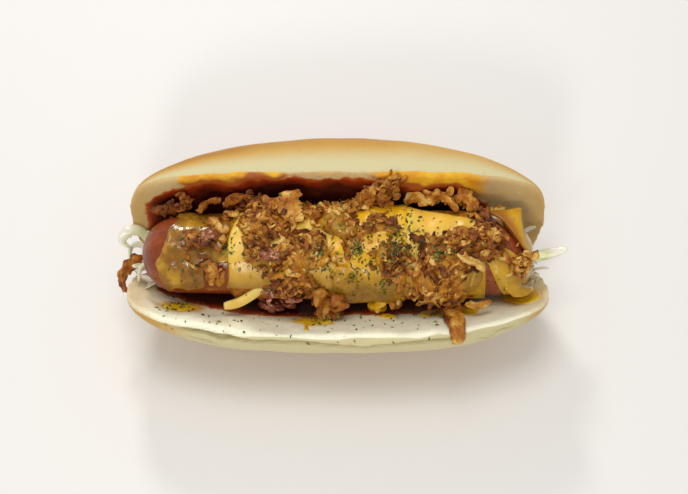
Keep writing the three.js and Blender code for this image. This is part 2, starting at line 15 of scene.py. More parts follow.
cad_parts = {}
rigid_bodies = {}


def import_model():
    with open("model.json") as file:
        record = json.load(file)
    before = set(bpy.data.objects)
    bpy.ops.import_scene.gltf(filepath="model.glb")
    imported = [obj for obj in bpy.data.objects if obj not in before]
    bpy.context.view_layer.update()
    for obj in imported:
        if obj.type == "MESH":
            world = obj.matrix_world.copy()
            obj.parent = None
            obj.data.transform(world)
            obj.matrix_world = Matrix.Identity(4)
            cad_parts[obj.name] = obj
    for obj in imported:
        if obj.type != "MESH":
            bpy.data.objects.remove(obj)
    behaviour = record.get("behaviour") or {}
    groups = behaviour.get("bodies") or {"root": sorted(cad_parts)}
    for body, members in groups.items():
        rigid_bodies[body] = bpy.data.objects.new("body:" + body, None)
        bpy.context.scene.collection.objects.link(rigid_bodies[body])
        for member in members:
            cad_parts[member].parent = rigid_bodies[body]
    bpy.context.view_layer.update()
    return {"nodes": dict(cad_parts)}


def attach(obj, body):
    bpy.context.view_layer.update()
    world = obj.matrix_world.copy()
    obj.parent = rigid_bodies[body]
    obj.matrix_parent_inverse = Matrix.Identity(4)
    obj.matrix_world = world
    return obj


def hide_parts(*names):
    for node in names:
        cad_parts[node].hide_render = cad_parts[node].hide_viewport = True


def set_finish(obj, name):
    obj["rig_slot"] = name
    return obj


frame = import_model()
METRES = 0.001
print("solids:", sorted(frame["nodes"]))

# %% [markdown]
# Food is never even, so nearly every surface below is a plain formula with lumps added to it. The lumps come
# from random values on a lattice of points, blended smoothly in between, so that they have one known size.

# %% Small sums
def mix(a, b, t):
    """Straight blend from a to b."""
    return a + (b - a) * t


def smooth_step(low, high, value):
    """0 below low and 1 above high, with an S-shaped rise of 3t^2 - 2t^3 in between."""
    t = np.clip((value - low) / (high - low), 0, 1)
    return t * t * (3 - 2 * t)


def lumps(points, size, seed):
    """Random lumps about one size across, -1 to 1: a random value at each lattice point, blended by 3t^2 -
    2t^3."""
    cell = np.asarray(points, float) / size
    corner = np.floor(cell).astype(np.int64)
    part = cell - corner
    part = part * part * (3 - 2 * part)
    total = np.zeros(cell.shape[:-1])
    for step in np.ndindex(2, 2, 2):
        at = corner + step
        mark = at[..., 0] * 374761393 + at[..., 1] * 668265263 + at[..., 2] * 1274126177 + seed * 974634777
        mark = (mark ^ (mark >> 13)) * 1274126177 & 0xFFFFFFFF
        value = ((mark ^ (mark >> 16)) & 0xFFFF) / 32767.5 - 1
        weight = np.prod(np.where(step, part, 1 - part), axis=-1)
        total += weight * value
    return total


print("lumps at the origin:", round(float(lumps(np.array([[3.0, 4.0, 5.0]]), 4, 1)[0]), 3))

# %% [markdown]
# A mesh here is a grid of points: rows along a piece and columns round it. Two extra points close the ends.
# Many like pieces, such as onion strips, are one array with one more dimension, joined into one mesh.

# %% Meshes from grids
def tube_faces(rows, columns):
    """Quads round and along a grid that closes on itself, and a fan of triangles over each end."""
    row, column = np.meshgrid(np.arange(rows - 1), np.arange(columns), indexing="ij")
    beside = (column + 1) % columns
    quads = np.stack([
        row * columns + column, row * columns + beside, (row + 1) * columns + beside,
        (row + 1) * columns + column,
    ], axis=-1).reshape(-1, 4)
    here = np.arange(columns)
    beside = (here + 1) % columns
    last = (rows - 1) * columns
    start = np.stack([np.full(columns, rows * columns), beside, here], axis=-1)
    end = np.stack([np.full(columns, rows * columns + 1), last + here, last + beside], axis=-1)
    return quads, np.concatenate([start, end])


def signed_volume(points, triangles):
    """Sum over the triangles of a . (b x c) / 6, which is positive when the faces point out."""
    a, b, c = (points[triangles[:, k]] for k in range(3))
    return float(np.einsum("ij,ij->i", a, np.cross(b, c)).sum() / 6)


def make_mesh(name, points, quads, triangles):
    """A mesh object from points in millimetres, its faces turned outwards and shaded smooth."""
    split = np.concatenate([quads[:, [0, 1, 2]], quads[:, [0, 2, 3]], triangles])
    if signed_volume(points, split) < 0:
        quads, triangles = quads[:, ::-1], triangles[:, ::-1]
    mesh = bpy.data.meshes.new(name)
    mesh.vertices.add(len(points))
    mesh.vertices.foreach_set("co", (points * METRES).ravel())
    corners = np.concatenate([quads.ravel(), triangles.ravel()])
    mesh.loops.add(len(corners))
    mesh.loops.foreach_set("vertex_index", corners)
    quad_starts = 4 * np.arange(len(quads))
    triangle_starts = 4 * len(quads) + 3 * np.arange(len(triangles))
    mesh.polygons.add(len(quads) + len(triangles))
    mesh.polygons.foreach_set("loop_start", np.concatenate([quad_starts, triangle_starts]))
    mesh.polygons.foreach_set("use_smooth", np.ones(len(quads) + len(triangles), bool))
    mesh.update(calc_edges=True)
    piece = bpy.data.objects.new(name, mesh)
    bpy.context.scene.collection.objects.link(piece)
    return piece


print("a tube of 3 rings of 4 points has", [len(part) for part in tube_faces(3, 4)], "quads and triangles")

# %% Closed tubes, marks, and serving a piece
def tubes(name, rings):
    """Closed pieces from rings (pieces, rows, columns, xyz); each end closes on the middle of its last
    ring."""
    if rings.ndim == 3:
        rings = rings[None]
    count, rows, columns, _ = rings.shape
    ends = np.stack([rings[:, 0].mean(axis=1), rings[:, -1].mean(axis=1)], axis=1)
    points = np.concatenate([rings.reshape(count, -1, 3), ends], axis=1)
    quads, triangles = tube_faces(rows, columns)
    shift = (np.arange(count) * points.shape[1])[:, None, None]
    return make_mesh(
        name, points.reshape(-1, 3), (quads + shift).reshape(-1, 4), (triangles + shift).reshape(-1, 3),
    )


def mark_points(piece, name, values):
    """Keeps one number for each point of a piece, for its material to read."""
    attribute = piece.data.attributes.new(name, "FLOAT", "POINT")
    attribute.data.foreach_set("value", np.ascontiguousarray(values, dtype=np.float32))


def points_of(piece):
    """The piece's points in millimetres."""
    points = np.empty(len(piece.data.vertices) * 3)
    piece.data.vertices.foreach_get("co", points)
    return points.reshape(-1, 3) / METRES


def serve(piece, finish, slot, *nodes):
    """Gives a piece its finish and its record slot, fixes it to the one body and hides the solids it stands
    for."""
    piece.data.materials.clear()
    piece.data.materials.append(finish)
    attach(piece, "root")
    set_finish(piece, slot)
    if nodes:
        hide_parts(*nodes)
    print(f"{piece.name}: {len(piece.data.polygons)} faces")


# %% [markdown]
# Finishes are worked out as sums too. A socket is wrapped in a small class, so that a sum of masks in Python
# adds its Math nodes; colours are blended by Mix nodes, because Math nodes would turn them grey.

# %% A socket in a sum
class Value:
    """A node's output that can stand in a Python sum."""

    def __init__(self, finish, socket):
        self.finish = finish
        self.socket = socket

    def _math(self, operation, a, b):
        return self.finish.add("ShaderNodeMath", {"operation": operation}, {0: a, 1: b})

    def __add__(self, other):
        return self._math("ADD", self, other)

    def __sub__(self, other):
        return self._math("SUBTRACT", self, other)

    def __rsub__(self, other):
        return self._math("SUBTRACT", other, self)

    def __mul__(self, other):
        return self._math("MULTIPLY", self, other)

    __radd__ = __add__
    __rmul__ = __mul__


print("sums that a socket takes part in:", [name for name in vars(Value) if name.startswith("__r")])

# %% A finish and its nodes
class Finish:
    """A material under construction, with the few nodes that food needs."""

    def __init__(self, name, **constants):
        self.material = bpy.data.materials.new(name)
        self.material.use_nodes = True
        self.tree = self.material.node_tree
        self.surface = self.tree.nodes["Principled BSDF"]
        for key, value in constants.items():
            self.surface.inputs[key.replace("_", " ")].default_value = value
        self.place = self.add("ShaderNodeTexCoord", {}, {}, "Object")

    def add(self, kind, settings, inputs, output=0):
        """Adds a node: its settings first, then the values or links of its sockets."""
        node = self.tree.nodes.new(kind)
        for key, value in settings.items():
            if key == "stops":
                ramp = node.color_ramp
                while len(ramp.elements) < len(value):
                    ramp.elements.new(0.5)
                for element, (position, colour) in zip(ramp.elements, value):
                    element.position = position
                    element.color = colour
            else:
                setattr(node, key, value)
        for key, value in inputs.items():
            if isinstance(value, Value):
                self.tree.links.new(value.socket, node.inputs[key])
            else:
                node.inputs[key].default_value = value
        return Value(self, node.outputs[output])

    def noise(self, size, detail=3, roughness=0.55, distortion=0.0):
        """Cloudy noise from 0 to 1 whose clouds are about size millimetres across."""
        inputs = {"Vector": self.place, "Scale": 1 / (size * METRES), "Detail": detail,
                  "Roughness": roughness, "Distortion": distortion}
        return self.add("ShaderNodeTexNoise", {}, inputs)

    def above(self, low, high):
        """0 below the height low and 1 above high, in millimetres over the ground."""
        axes = self.add("ShaderNodeSeparateXYZ", {}, {"Vector": self.place}, "Z")
        return self.rise(axes, low * METRES, high * METRES)

    def marked(self, name):
        """The number kept for each point under this name."""
        return self.add("ShaderNodeAttribute", {"attribute_name": name}, {}, "Fac")

    def rise(self, value, low, high):
        """0 below low, 1 above high, S-shaped in between."""
        inputs = {"Value": value, "From Min": low, "From Max": high}
        return self.add("ShaderNodeMapRange", {"interpolation_type": "SMOOTHSTEP"}, inputs)

    def blend(self, factor, first, second):
        """Blend of two colours."""
        return self.add("ShaderNodeMix", {"data_type": "RGBA"}, {0: factor, 6: first, 7: second}, 2)

    def shades(self, value, *stops):
        """A colour for each value, from stops of (position, colour)."""
        return self.add("ShaderNodeValToRGB", {"stops": stops}, {"Fac": value}, "Color")

    def bump(self, height, depth, strength=1.0):
        """Fine relief: height from 0 to 1 stands for depth millimetres."""
        inputs = {"Height": height, "Distance": depth * METRES, "Strength": strength}
        return self.add("ShaderNodeBump", {}, inputs, "Normal")

    def set(self, **sockets):
        """Feeds the surface's sockets, by name, and returns the material."""
        for key, value in sockets.items():
            target = self.surface.inputs[key.replace("_", " ")]
            if isinstance(value, Value):
                self.tree.links.new(value.socket, target)
            else:
                target.default_value = value
        return self.material


print("what a finish can add:", [name for name in vars(Finish) if not name.startswith("_")])

# %% Colours as light
def paint(red, green, blue):
    """A screen colour from 0 to 255 as the light that a surface gives back."""
    share = np.array([red, green, blue]) / 255
    linear = np.where(share <= 0.04045, share / 12.92, ((share + 0.055) / 1.055) ** 2.4)
    return (*linear.tolist(), 1.0)


print("a screen's middle grey gives back", round(paint(128, 128, 128)[0], 2), "of the light")

# %% [markdown]
# The roll was one soft loaf, cut from one side along its length and opened like a book that stands on its
# spine. So its shape is worked out shut, and each point is then turned about the hinge. The way back, from a
# point in the opened roll to its place in the shut one, is worked out too: later steps need it to tell crust
# from crumb, and to put sauce on a cut face.

# %% The roll's dimensions
HALF_LENGTH = 80
HALF_DEPTH = 32
CUT_BELOW_MIDDLE = 7
DOME_HALF_HEIGHT = 24.5
BASE_HALF_HEIGHT = 24
SQUARENESS = 2.5
HINGE_DEPTH = 7
HINGE_HEIGHT = 8
HINGE_SIDE = 2.2
DOME_LEAN = 12
BASE_LEAN_MIDDLE = 52
BASE_LEAN_ENDS = 49
NOSE_LIFT = 8
CUT_FACE_DISH = 1.5
LIP_SOFTNESS = 2.6
SECTIONS = 150
SECTION_POINTS = 200


print("the roll is", 2 * HALF_LENGTH, "mm long and", 2 * HALF_DEPTH, "mm deep when shut")

# %% From shut to opened, and back
def nose_lift(share):
    """The noses stand clear of the ground, by the cube of the share of the half length."""
    return NOSE_LIFT * np.abs(share) ** 3


def base_lean(share):
    """The base half leans a little less at its ends."""
    return np.radians(mix(BASE_LEAN_MIDDLE, BASE_LEAN_ENDS, share ** 2))


def taper(share, is_dome):
    """How much the depth and the height shrink towards the noses: superellipses in the share of the half
    length."""
    t = np.minimum(0.9995, np.abs(share))
    depth = (1 - t ** 3) ** (1 / 3)
    height = (1 - t ** 2) ** 0.75 if is_dome else (1 - t ** 2.4) ** (1 / 2.4)
    return depth, height


def opened(share, is_dome, from_hinge, height):
    """A point of one half, from its place past the hinge and its height over the cut, turned by the half's
    lean."""
    lean = np.radians(DOME_LEAN) if is_dome else base_lean(share)
    side = 1 if is_dome else -1
    y = HINGE_SIDE + side * (from_hinge * np.sin(lean) + height * np.cos(lean))
    z = HINGE_HEIGHT + from_hinge * np.cos(lean) - height * np.sin(lean) + nose_lift(share)
    return np.stack(np.broadcast_arrays(share * HALF_LENGTH, y, z), axis=-1)


def shut(points):
    """The way back: share, whether it is the dome, place past the hinge and height over the cut."""
    share = points[..., 0] / HALF_LENGTH
    y = points[..., 1] - HINGE_SIDE
    z = points[..., 2] - HINGE_HEIGHT - nose_lift(share)
    middle = math.radians((DOME_LEAN - BASE_LEAN_MIDDLE) / 2)
    turn = np.arctan2(y, z)
    is_dome = (turn > middle) & (turn < middle + math.pi)
    side = np.where(is_dome, 1, -1)
    lean = np.where(is_dome, np.radians(DOME_LEAN), base_lean(share))
    from_hinge = side * y * np.sin(lean) + z * np.cos(lean)
    height = side * y * np.cos(lean) - z * np.sin(lean)
    return share, is_dome, from_hinge, height


near_lip = opened(np.array(0.0), False, 2 * HALF_DEPTH - HINGE_DEPTH, 0)
print("the near lip at the middle:", near_lip.round(1), "mm")

# %% [markdown]
# Shut, each section across the loaf is a superellipse, rounder than a box and squarer than an egg, cut by a
# plane below its middle. A knife drags soft crumb along, so the cut is dished a little and its corners are
# softened, by splitting the section's outline into waves and fading the finest. That rounds a corner evenly,
# where a bevel would need its edges picked out first.

# %% Sections of the two halves
def face_height(share, is_dome, from_hinge):
    """Height of a cut face over the cutting plane: the dish, a half sine across it."""
    depth, height = (np.where(is_dome, *pair) for pair in zip(taper(share, True), taper(share, False)))
    reach = HALF_DEPTH * depth
    across = np.clip((from_hinge + HINGE_DEPTH - HALF_DEPTH + reach) / (2 * reach), 0, 1)
    return CUT_FACE_DISH * np.minimum(1, height * 1.5) * np.sin(np.pi * across)


def nose_rounding(share):
    """The upper half's noses are rounded off further, by a quarter circle over the last 6 % of the half
    length."""
    return np.sqrt(1 - np.clip((np.abs(share) - 0.94) / 0.06, 0, 1) ** 2)


def half_sections(share, is_dome, count):
    """D-shaped sections: a superellipse arc for the crust, a dished line for the cut, corners softened."""
    depth, height = (value[:, None] for value in taper(share, is_dome))
    rounding = nose_rounding(share)[:, None] if is_dome else 1.0
    reach = HALF_DEPTH * depth * rounding
    rise = (DOME_HALF_HEIGHT if is_dome else BASE_HALF_HEIGHT) * height
    middle = (CUT_BELOW_MIDDLE if is_dome else -CUT_BELOW_MIDDLE) * height
    power = 2 / SQUARENESS
    start = -np.sign(middle) * np.arcsin(np.minimum(1, np.abs(middle) / rise) ** (1 / power))
    angle = mix(start, np.pi - start, np.linspace(0, 1, 97)[None])
    across = HALF_DEPTH + 5 * (1 - rounding) + reach * np.sign(np.cos(angle)) * np.abs(np.cos(angle)) ** power
    up = np.maximum(0, middle + rise * np.sign(np.sin(angle)) * np.abs(np.sin(angle)) ** power)
    along_cut = np.linspace(0, 1, 60)[None, 1:-1]
    cut = mix(across[:, -1:], across[:, :1], along_cut)
    dish = CUT_FACE_DISH * np.minimum(1, height * 1.5) * np.sin(np.pi * along_cut)
    outline = np.stack([np.hstack([across, cut]), np.hstack([up, dish])], axis=-1)
    lengths = np.linalg.norm(np.roll(outline, -1, axis=1) - outline, axis=-1)
    walked = np.hstack([np.zeros((len(share), 1)), np.cumsum(lengths, axis=1)])
    closed = np.concatenate([outline, outline[:, :1]], axis=1)
    goals = walked[:, -1:] * np.arange(count) / count
    even = np.stack([
        [np.interp(goal, walk, ring[:, k]) for goal, walk, ring in zip(goals, walked, closed)] for k in (0, 1)
    ], axis=-1)
    spread = LIP_SOFTNESS * height * count / walked[:, -1:] / math.sqrt(3)
    wave = np.fft.fftfreq(count)[None]
    soften = np.exp(-2 * (np.pi * wave * spread) ** 2)[..., None]
    return np.fft.ifft(np.fft.fft(even, axis=1) * soften, axis=1).real


section = half_sections(np.array([0.0]), True, SECTION_POINTS)[0]
print("the upper half at its middle:", np.ptp(section, axis=0).round(1), "mm deep and high")

# %% The halves and the spine as rings
def roll_half(name, is_dome):
    """One half as rings of its sections at stations spaced by a cosine. The upper half's noses would run out
    to nothing, so they end a little earlier."""
    share = -np.cos(np.linspace(0, np.pi, SECTIONS))[1:-1] * (0.99 if is_dome else 1.0)
    sections = half_sections(share, is_dome, SECTION_POINTS)
    rings = opened(share[:, None], is_dome, sections[..., 0] - HINGE_DEPTH, sections[..., 1])
    return tubes(name, rings)


def roll_spine():
    """The uncut back: elliptical rings that rise and thin out towards the noses."""
    half_spine, width, height = 0.8, 16, 8
    share = np.linspace(-half_spine, half_spine, 70)[:, None]
    lift = HALF_DEPTH * (1 - taper(share, True)[0]) + nose_lift(share)
    size = np.sqrt(1 - 0.9 * (share / half_spine) ** 4)
    angle = np.linspace(0, 2 * np.pi, 60, endpoint=False)[None]
    y = width * size * np.cos(angle)
    z = 5.5 + lift + height * size * np.sin(angle)
    return tubes("spine", np.stack(np.broadcast_arrays(share * HALF_LENGTH, y, z), axis=-1))


# %% [markdown]
# Dough has no seams, but the two halves and the uncut spine are three closed shapes that overlap. A boolean
# union would keep the creases where they meet. A voxel remesh wraps one even skin round all three, and its
# small squares also give later steps enough points to move. Then the creases below the hinge are relaxed
# away.

# %% Remesh, relax and move
VOXEL = 0.85


def join_by_voxels(pieces, size):
    """One closed skin round several overlapping closed pieces, by Blender's voxel remesh."""
    bpy.ops.object.select_all(action="DESELECT")
    for piece in pieces:
        piece.select_set(True)
    bpy.context.view_layer.objects.active = pieces[0]
    bpy.ops.object.join()
    joined = bpy.context.view_layer.objects.active
    modifier = joined.modifiers.new("voxels", "REMESH")
    modifier.mode = "VOXEL"
    modifier.voxel_size = size * METRES
    bpy.ops.object.modifier_apply(modifier="voxels")
    return joined


def relax(piece, weights, rounds):
    """Moves each point towards the mean of its neighbours by its weight, a number of times."""
    points = points_of(piece)
    edges = np.empty(len(piece.data.edges) * 2, np.int32)
    piece.data.edges.foreach_get("vertices", edges)
    a, b = edges.reshape(-1, 2).T
    count = np.bincount(np.concatenate([a, b]), minlength=len(points))[:, None]
    for _ in range(rounds):
        total = np.stack([
            np.bincount(np.concatenate([a, b]), np.concatenate([points[b, k], points[a, k]]), len(points))
            for k in range(3)
        ], axis=-1)
        points += weights[:, None] * (total / count - points)
    return points


def outward_normals(piece):
    """The unit normals of a piece's points."""
    normals = np.empty(len(piece.data.vertices) * 3, np.float32)
    piece.data.vertex_normals.foreach_get("vector", normals)
    return normals.reshape(-1, 3).astype(float)


def set_points(piece, points):
    """Puts points, in millimetres, back into a piece."""
    piece.data.vertices.foreach_set("co", (points * METRES).ravel())
    piece.data.update()


# %% One skin, smoothed below the hinge
roll = join_by_voxels([roll_half("roll", True), roll_half("near half", False), roll_spine()], VOXEL)
roll.name = "roll"
share, is_dome, from_hinge, height = shut(points_of(roll))
below_hinge = 1 - smooth_step(-4, 8, from_hinge)
set_points(roll, relax(roll, 0.35 + 0.6 * below_hinge, 14))
print("roll skin:", len(roll.data.polygons), "faces")

# %% [markdown]
# Dough is not a formula: the crust has shallow dents, the near half has a long fold under its lip where it
# was bent open, with small wrinkles at both ends, and the cut faces are open crumb. These go into the mesh by
# moving its points along their normals, so that they show in the outline too. What is finer is left to the
# finish.

# %% Fold, wrinkles, dents and crumb of the roll
def groove(distance, width):
    """The cross-section of a groove: 1 in its middle, 0 past its width."""
    return np.maximum(0, 1 - (distance / width) ** 2) ** 2


points = points_of(roll)
share, is_dome, from_hinge, height = shut(points)
x = points[:, 0]
flat = np.stack([x, from_hinge, 0 * x], axis=-1)
cut_edge = 1.5 + 0.4 * lumps(flat, 6, 3)
over_cut = height - face_height(share, is_dome, from_hinge)
on_cut = (1 - smooth_step(cut_edge - 0.7, cut_edge + 0.7, over_cut)) * smooth_step(-4, 2, from_hinge)

is_near = ~is_dome
fold_height = 4.1 + 1.1 * np.sin(0.055 * x + 1.1) + 0.6 * np.sin(0.16 * x) + 0.35 * lumps(flat, 5, 8)
fold_reach = smooth_step(-64, -52, x) * (1 - smooth_step(40, 52, x))
outer = smooth_step(38, 46, from_hinge)
fold = groove(height - fold_height, 1.7) * fold_reach * outer * is_near
upper_swell = groove(height - fold_height + 2.0, 2.4) * fold_reach * outer * is_near

wrinkle = np.zeros(len(x))
for start, end, level, slope in [
    (-58, -44, 6.6, 0.10), (-54, -40, 8.6, 0.05), (-50, -36, 4.2, -0.04), (55, 68, 5.4, -0.12),
    (50, 62, 7.6, -0.06),
]:
    middle = (start + end) / 2
    reach = groove(x - middle, (end - start) / 2)
    line = level + slope * (x - middle) + 0.5 * np.sin(0.7 * x)
    wrinkle += groove(height - line, 1.0) * reach * outer * is_near

dents = 0.45 * lumps(points, 22, 1) + 0.22 * lumps(points, 9, 2)
crumb = 0.16 * lumps(points, 3.6, 4) + 0.08 * lumps(points, 1.9, 5)
move = dents - 2.5 * fold + 1.2 * upper_swell - 1.4 * wrinkle + crumb * on_cut
move *= smooth_step(0.0, 3.0, points[:, 2])
points += move[:, None] * outward_normals(roll)
points[:, 2] = np.maximum(points[:, 2], 0)
set_points(roll, points)
print("points moved by", round(float(move.min()), 2), "to", round(float(move.max()), 2), "mm")

# %% [markdown]
# An oven browns the dome most, at its crest and noses, and leaves the near half pale but for its ends.
# Towards its left end the dome is also darkened as painted shade. Sauce has filled the fold and crept out
# over both cut faces, red-brown, with mustard beyond it. Where each lies depends on the place in the shut
# roll, which a material can't work out, so numpy does and keeps one number per point.

# %% Where the roll is browned, painted with shade, cut and stained
# Where the sauce stops, along X and then past the hinge, on either cut face.
SAUCE_EDGE_NEAR = np.array([
    (-76, 15), (-69, 22), (-63, 27), (-57, 31), (-50, 34.5), (-41, 37.5), (-29, 40), (-18, 41), (-3, 39),
    (16, 37.5),
    (31, 37), (52, 33),
])
SAUCE_EDGE_FAR = np.array([
    (-72, 35), (-68, 41), (-62, 46.5), (-50, 50.5), (-36, 51.5), (-26, 55), (8, 55.5), (18, 51), (44, 49),
    (56, 38),
])
STAINS_NEAR = [
    # middle along X and past the hinge, and how far the yellow has spread each way
    (-59, 36.5, 11, 7), (-9, 44, 10, 5), (69, 29, 9, 10), (42, 37, 10, 5),
]
crust_height = height / np.where(is_dome, CUT_BELOW_MIDDLE + DOME_HALF_HEIGHT, BASE_HALF_HEIGHT - 7)
crust_height = crust_height / np.where(is_dome, taper(share, True)[1], taper(share, False)[1])
nose = smooth_step(0.8, 0.97, np.abs(share))
browned = np.where(
    is_dome,
    smooth_step(0.10, 0.62, crust_height + 0.1 * nose) * (0.8 + 0.2 * smooth_step(0.5, 1, crust_height)),
    np.maximum(
        (1 - 0.7 * on_cut) * 0.62 * np.maximum(
            smooth_step(-0.62, -0.86, share), smooth_step(0.8, 0.96, share),
        ),
        0.55 * smooth_step(0.6, 1.0, crust_height),
    ),
)
browned = browned * (1 + 0.1 * lumps(points, 14, 6))
paler_stretch = smooth_step(10, 42, x) * (1 - smooth_step(46, 74, x))
# painted shade: the dome's crust darkens towards its left end; it is also paler over a stretch at the right
browned = browned * (1 + is_dome * (0.4 * smooth_step(-5, -55, x) - 0.3 * paler_stretch))

near_edge = np.interp(x, *SAUCE_EDGE_NEAR.T) + 1.4 * lumps(flat, 6, 9) + 0.7 * lumps(flat, 2.5, 10)
far_edge = np.interp(x, *SAUCE_EDGE_FAR.T) + 2.0 * lumps(flat, 8, 7) + 0.8 * lumps(flat, 3, 11)
inward = np.where(is_dome, far_edge, near_edge) - from_hinge
along = np.where(is_dome, np.minimum(x + 74, 58 - x), np.minimum(x + 79, 52 - x))
red = smooth_step(-0.6, 9, np.minimum(inward, 0.8 * along)) * smooth_step(0.2, 0.8, on_cut)

yellow_reach = np.interp(x, [-62, -54, -30, -14, 12, 24, 42, 60], [0, 1, 1, 0.3, 0.3, 1, 1, 0])
yellow_far = smooth_step(-5, 3, from_hinge - far_edge) * yellow_reach
yellow_near = np.zeros(len(x))
for middle, past_hinge, along_x, outwards in STAINS_NEAR:
    off = ((x - middle) / along_x) ** 2 + ((from_hinge - past_hinge) / outwards) ** 2
    yellow_near = np.maximum(yellow_near, 0.75 * np.exp(-1.5 * off))
yellow = np.where(is_dome, yellow_far, yellow_near) * on_cut
drawn_in = np.where(is_dome, 1 - smooth_step(0, 3, from_hinge - far_edge), 0)
# painted shade and reflected light: the near cut face turns warmer and a little darker close to the sausage
greasy = np.where(is_dome, 0, 1 - smooth_step(0, 9, from_hinge - near_edge)) * on_cut
marks = {
    "browned": browned, "on_cut": on_cut, "red": red, "yellow": yellow, "fold": fold + wrinkle,
    "dome": is_dome,
    "drawn_in": drawn_in, "greasy": greasy, "nose": nose,
}
for name, values in marks.items():
    mark_points(roll, name, values)
print("browned from", round(float(browned.min()), 2), "to", round(float(browned.max()), 2))

# %% [markdown]
# The finish blends crust, crumb, stains and sauce by those marks. Each edge is first made ragged with noise,
# as sauce creeps from pore to pore. Bread lets light in, so a little of it is scattered below the surface,
# and where sauce lies it is wetter and shines more. Light and shade are painted in too: lighter sauce on the
# near half, and darker colours on the far cut face, in the fold and on the crumb by the sausage.

# %% Finish of the roll
PALE_CRUST = paint(212, 201, 156)
GOLDEN_CRUST = paint(206, 162, 80)
BROWN_CRUST = paint(184, 130, 54)
CRUMB = paint(252, 250, 224)
# the far cut face's crumb colour, darkened as painted shade
SHADED_CRUMB = paint(202, 170, 108)


def bread_finish():
    """Crust that browns with the mark, soft crumb on the cuts, and sauce soaked into it: orange-brown where
    it has just reached, nearly black furthest in, and lighter on the near half, as painted light. The far
    cut face, the fold and the crumb by the sausage are darkened as painted shade."""
    bread = Finish("bread", Roughness=0.6, Subsurface_Weight=0.15, Subsurface_Scale=0.004)
    bread.surface.inputs["Specular IOR Level"].default_value = 0.3
    bread.surface.inputs["Subsurface Radius"].default_value = (1.0, 0.7, 0.4)
    clouds = bread.noise(11, 4)
    specks = bread.noise(0.8, 3, 0.7)
    tone = bread.marked("browned") + (clouds - 0.5) * 0.14 + (specks - 0.5) * 0.05
    crust = bread.shades(tone, (0.05, PALE_CRUST), (0.6, GOLDEN_CRUST), (1.0, BROWN_CRUST))
    pores = bread.rise(bread.noise(1.6, 4, 0.6), 0.5, 0.72)
    # painted shade: the far half's cut face takes the darker crumb colour
    crumb = bread.blend(bread.marked("dome") * 0.9, CRUMB, SHADED_CRUMB)
    crumb = bread.blend(pores * 0.2, crumb, paint(222, 198, 146))
    # painted shade and reflected light from the sausage: a warmer, darker crumb close to it
    crumb = bread.blend(bread.marked("greasy") * 0.12, crumb, paint(246, 214, 150))
    crumb = bread.blend(bread.marked("nose") * 0.5, crumb, GOLDEN_CRUST)
    cut = bread.marked("on_cut")
    colour = bread.blend(bread.rise(cut + (specks - 0.5) * 0.3, 0.3, 0.7), crust, crumb)
    ragged = (bread.noise(2.4, 5, 0.65) - 0.5) * 0.22
    yellow_mask = bread.rise(bread.marked("yellow") + ragged * 2.0, 0.12, 0.5)
    stained = bread.shades(bread.noise(6, 4), (0.35, paint(246, 196, 22)), (0.65, paint(228, 150, 16)))
    drawn_in = bread.rise(bread.marked("drawn_in") + ragged * 1.5, 0.1, 1.0)
    stained = bread.blend(drawn_in, stained, paint(170, 78, 18))
    colour = bread.blend(yellow_mask * 0.92, colour, stained)
    red = bread.marked("red") + ragged
    red_mask = bread.rise(red, 0.02, 0.10)
    depth = red + (bread.noise(5, 4) - 0.5) * 0.3
    # painted light: the near half's sauce takes lighter colours than the far half's, to make up for the
    # sausage's shade over it
    sauce = bread.blend(
        bread.marked("dome"),
        bread.shades(
            depth, (0.04, paint(220, 118, 44)), (0.32, paint(176, 62, 22)), (0.8, paint(96, 28, 12)),
        ),
        bread.shades(depth, (0.04, paint(190, 92, 26)), (0.24, paint(142, 46, 14)), (0.8, paint(70, 20, 8))),
    )
    colour = bread.blend(red_mask, colour, sauce)
    # painted shade: the fold and wrinkles are darkened greenish grey, where shade falls in them
    painted_crease_shade = bread.rise(bread.marked("fold"), 0.15, 0.8)
    colour = bread.blend(painted_crease_shade * 0.6, colour, paint(164, 154, 100))
    relief = bread.noise(0.5, 2, 0.6) * 0.25 + bread.noise(2.6, 3) * 0.5 - pores * cut * 0.6
    wet = bread.rise(red_mask + yellow_mask * 0.6, 0.2, 0.9)
    return bread.set(Base_Color=colour, Roughness=0.6 - wet * 0.2, Normal=bread.bump(relief, 0.3, 0.45))


serve(roll, bread_finish(), "bread", "bun")

# %% [markdown]
# The sausage is a plain skin pulled tight over its filling: a round bar with blunt ends, slightly uneven,
# with a tied pucker at each tip. A cylinder with half spheres would look turned on a lathe, so its radius is
# a formula of the place along X, with lumps. Everything that is wrapped over it is a surface of the place
# along X and the angle round it, which is 0 straight up and grows towards the near side.

# %% Where the sausage lies
SAUSAGE_HALF = 73.5
SAUSAGE_RADIUS = 14.6
SAUSAGE_HEIGHT = 39.9
SAUSAGE_SIDE = -8.2
SAUSAGE_SKEW = -0.008
SAUSAGE_END = 15


def sausage_centre(x):
    """The middle of the sausage at a place along X."""
    return SAUSAGE_SIDE + SAUSAGE_SKEW * x, SAUSAGE_HEIGHT + 1.2 * (x / HALF_LENGTH) ** 2


def round_sausage(x, angle, radius):
    """A point round the sausage from its place along X, its angle and its distance from the middle."""
    y, z = sausage_centre(x)
    return np.stack(np.broadcast_arrays(x, y - radius * np.sin(angle), z + radius * np.cos(angle)), axis=-1)


print(
    "the sausage's middle at both ends:", [round(v, 1) for v in sausage_centre(-70.0) + sausage_centre(70.0)]
)

# %% Its skin and finish
def skin_radius(x):
    """The sausage's radius: round at the ends, by a power of 2.2."""
    past = np.maximum(0, np.abs(x) - (SAUSAGE_HALF - SAUSAGE_END)) / SAUSAGE_END
    return SAUSAGE_RADIUS * np.sqrt(np.maximum(0, 1 - past ** 2.2))


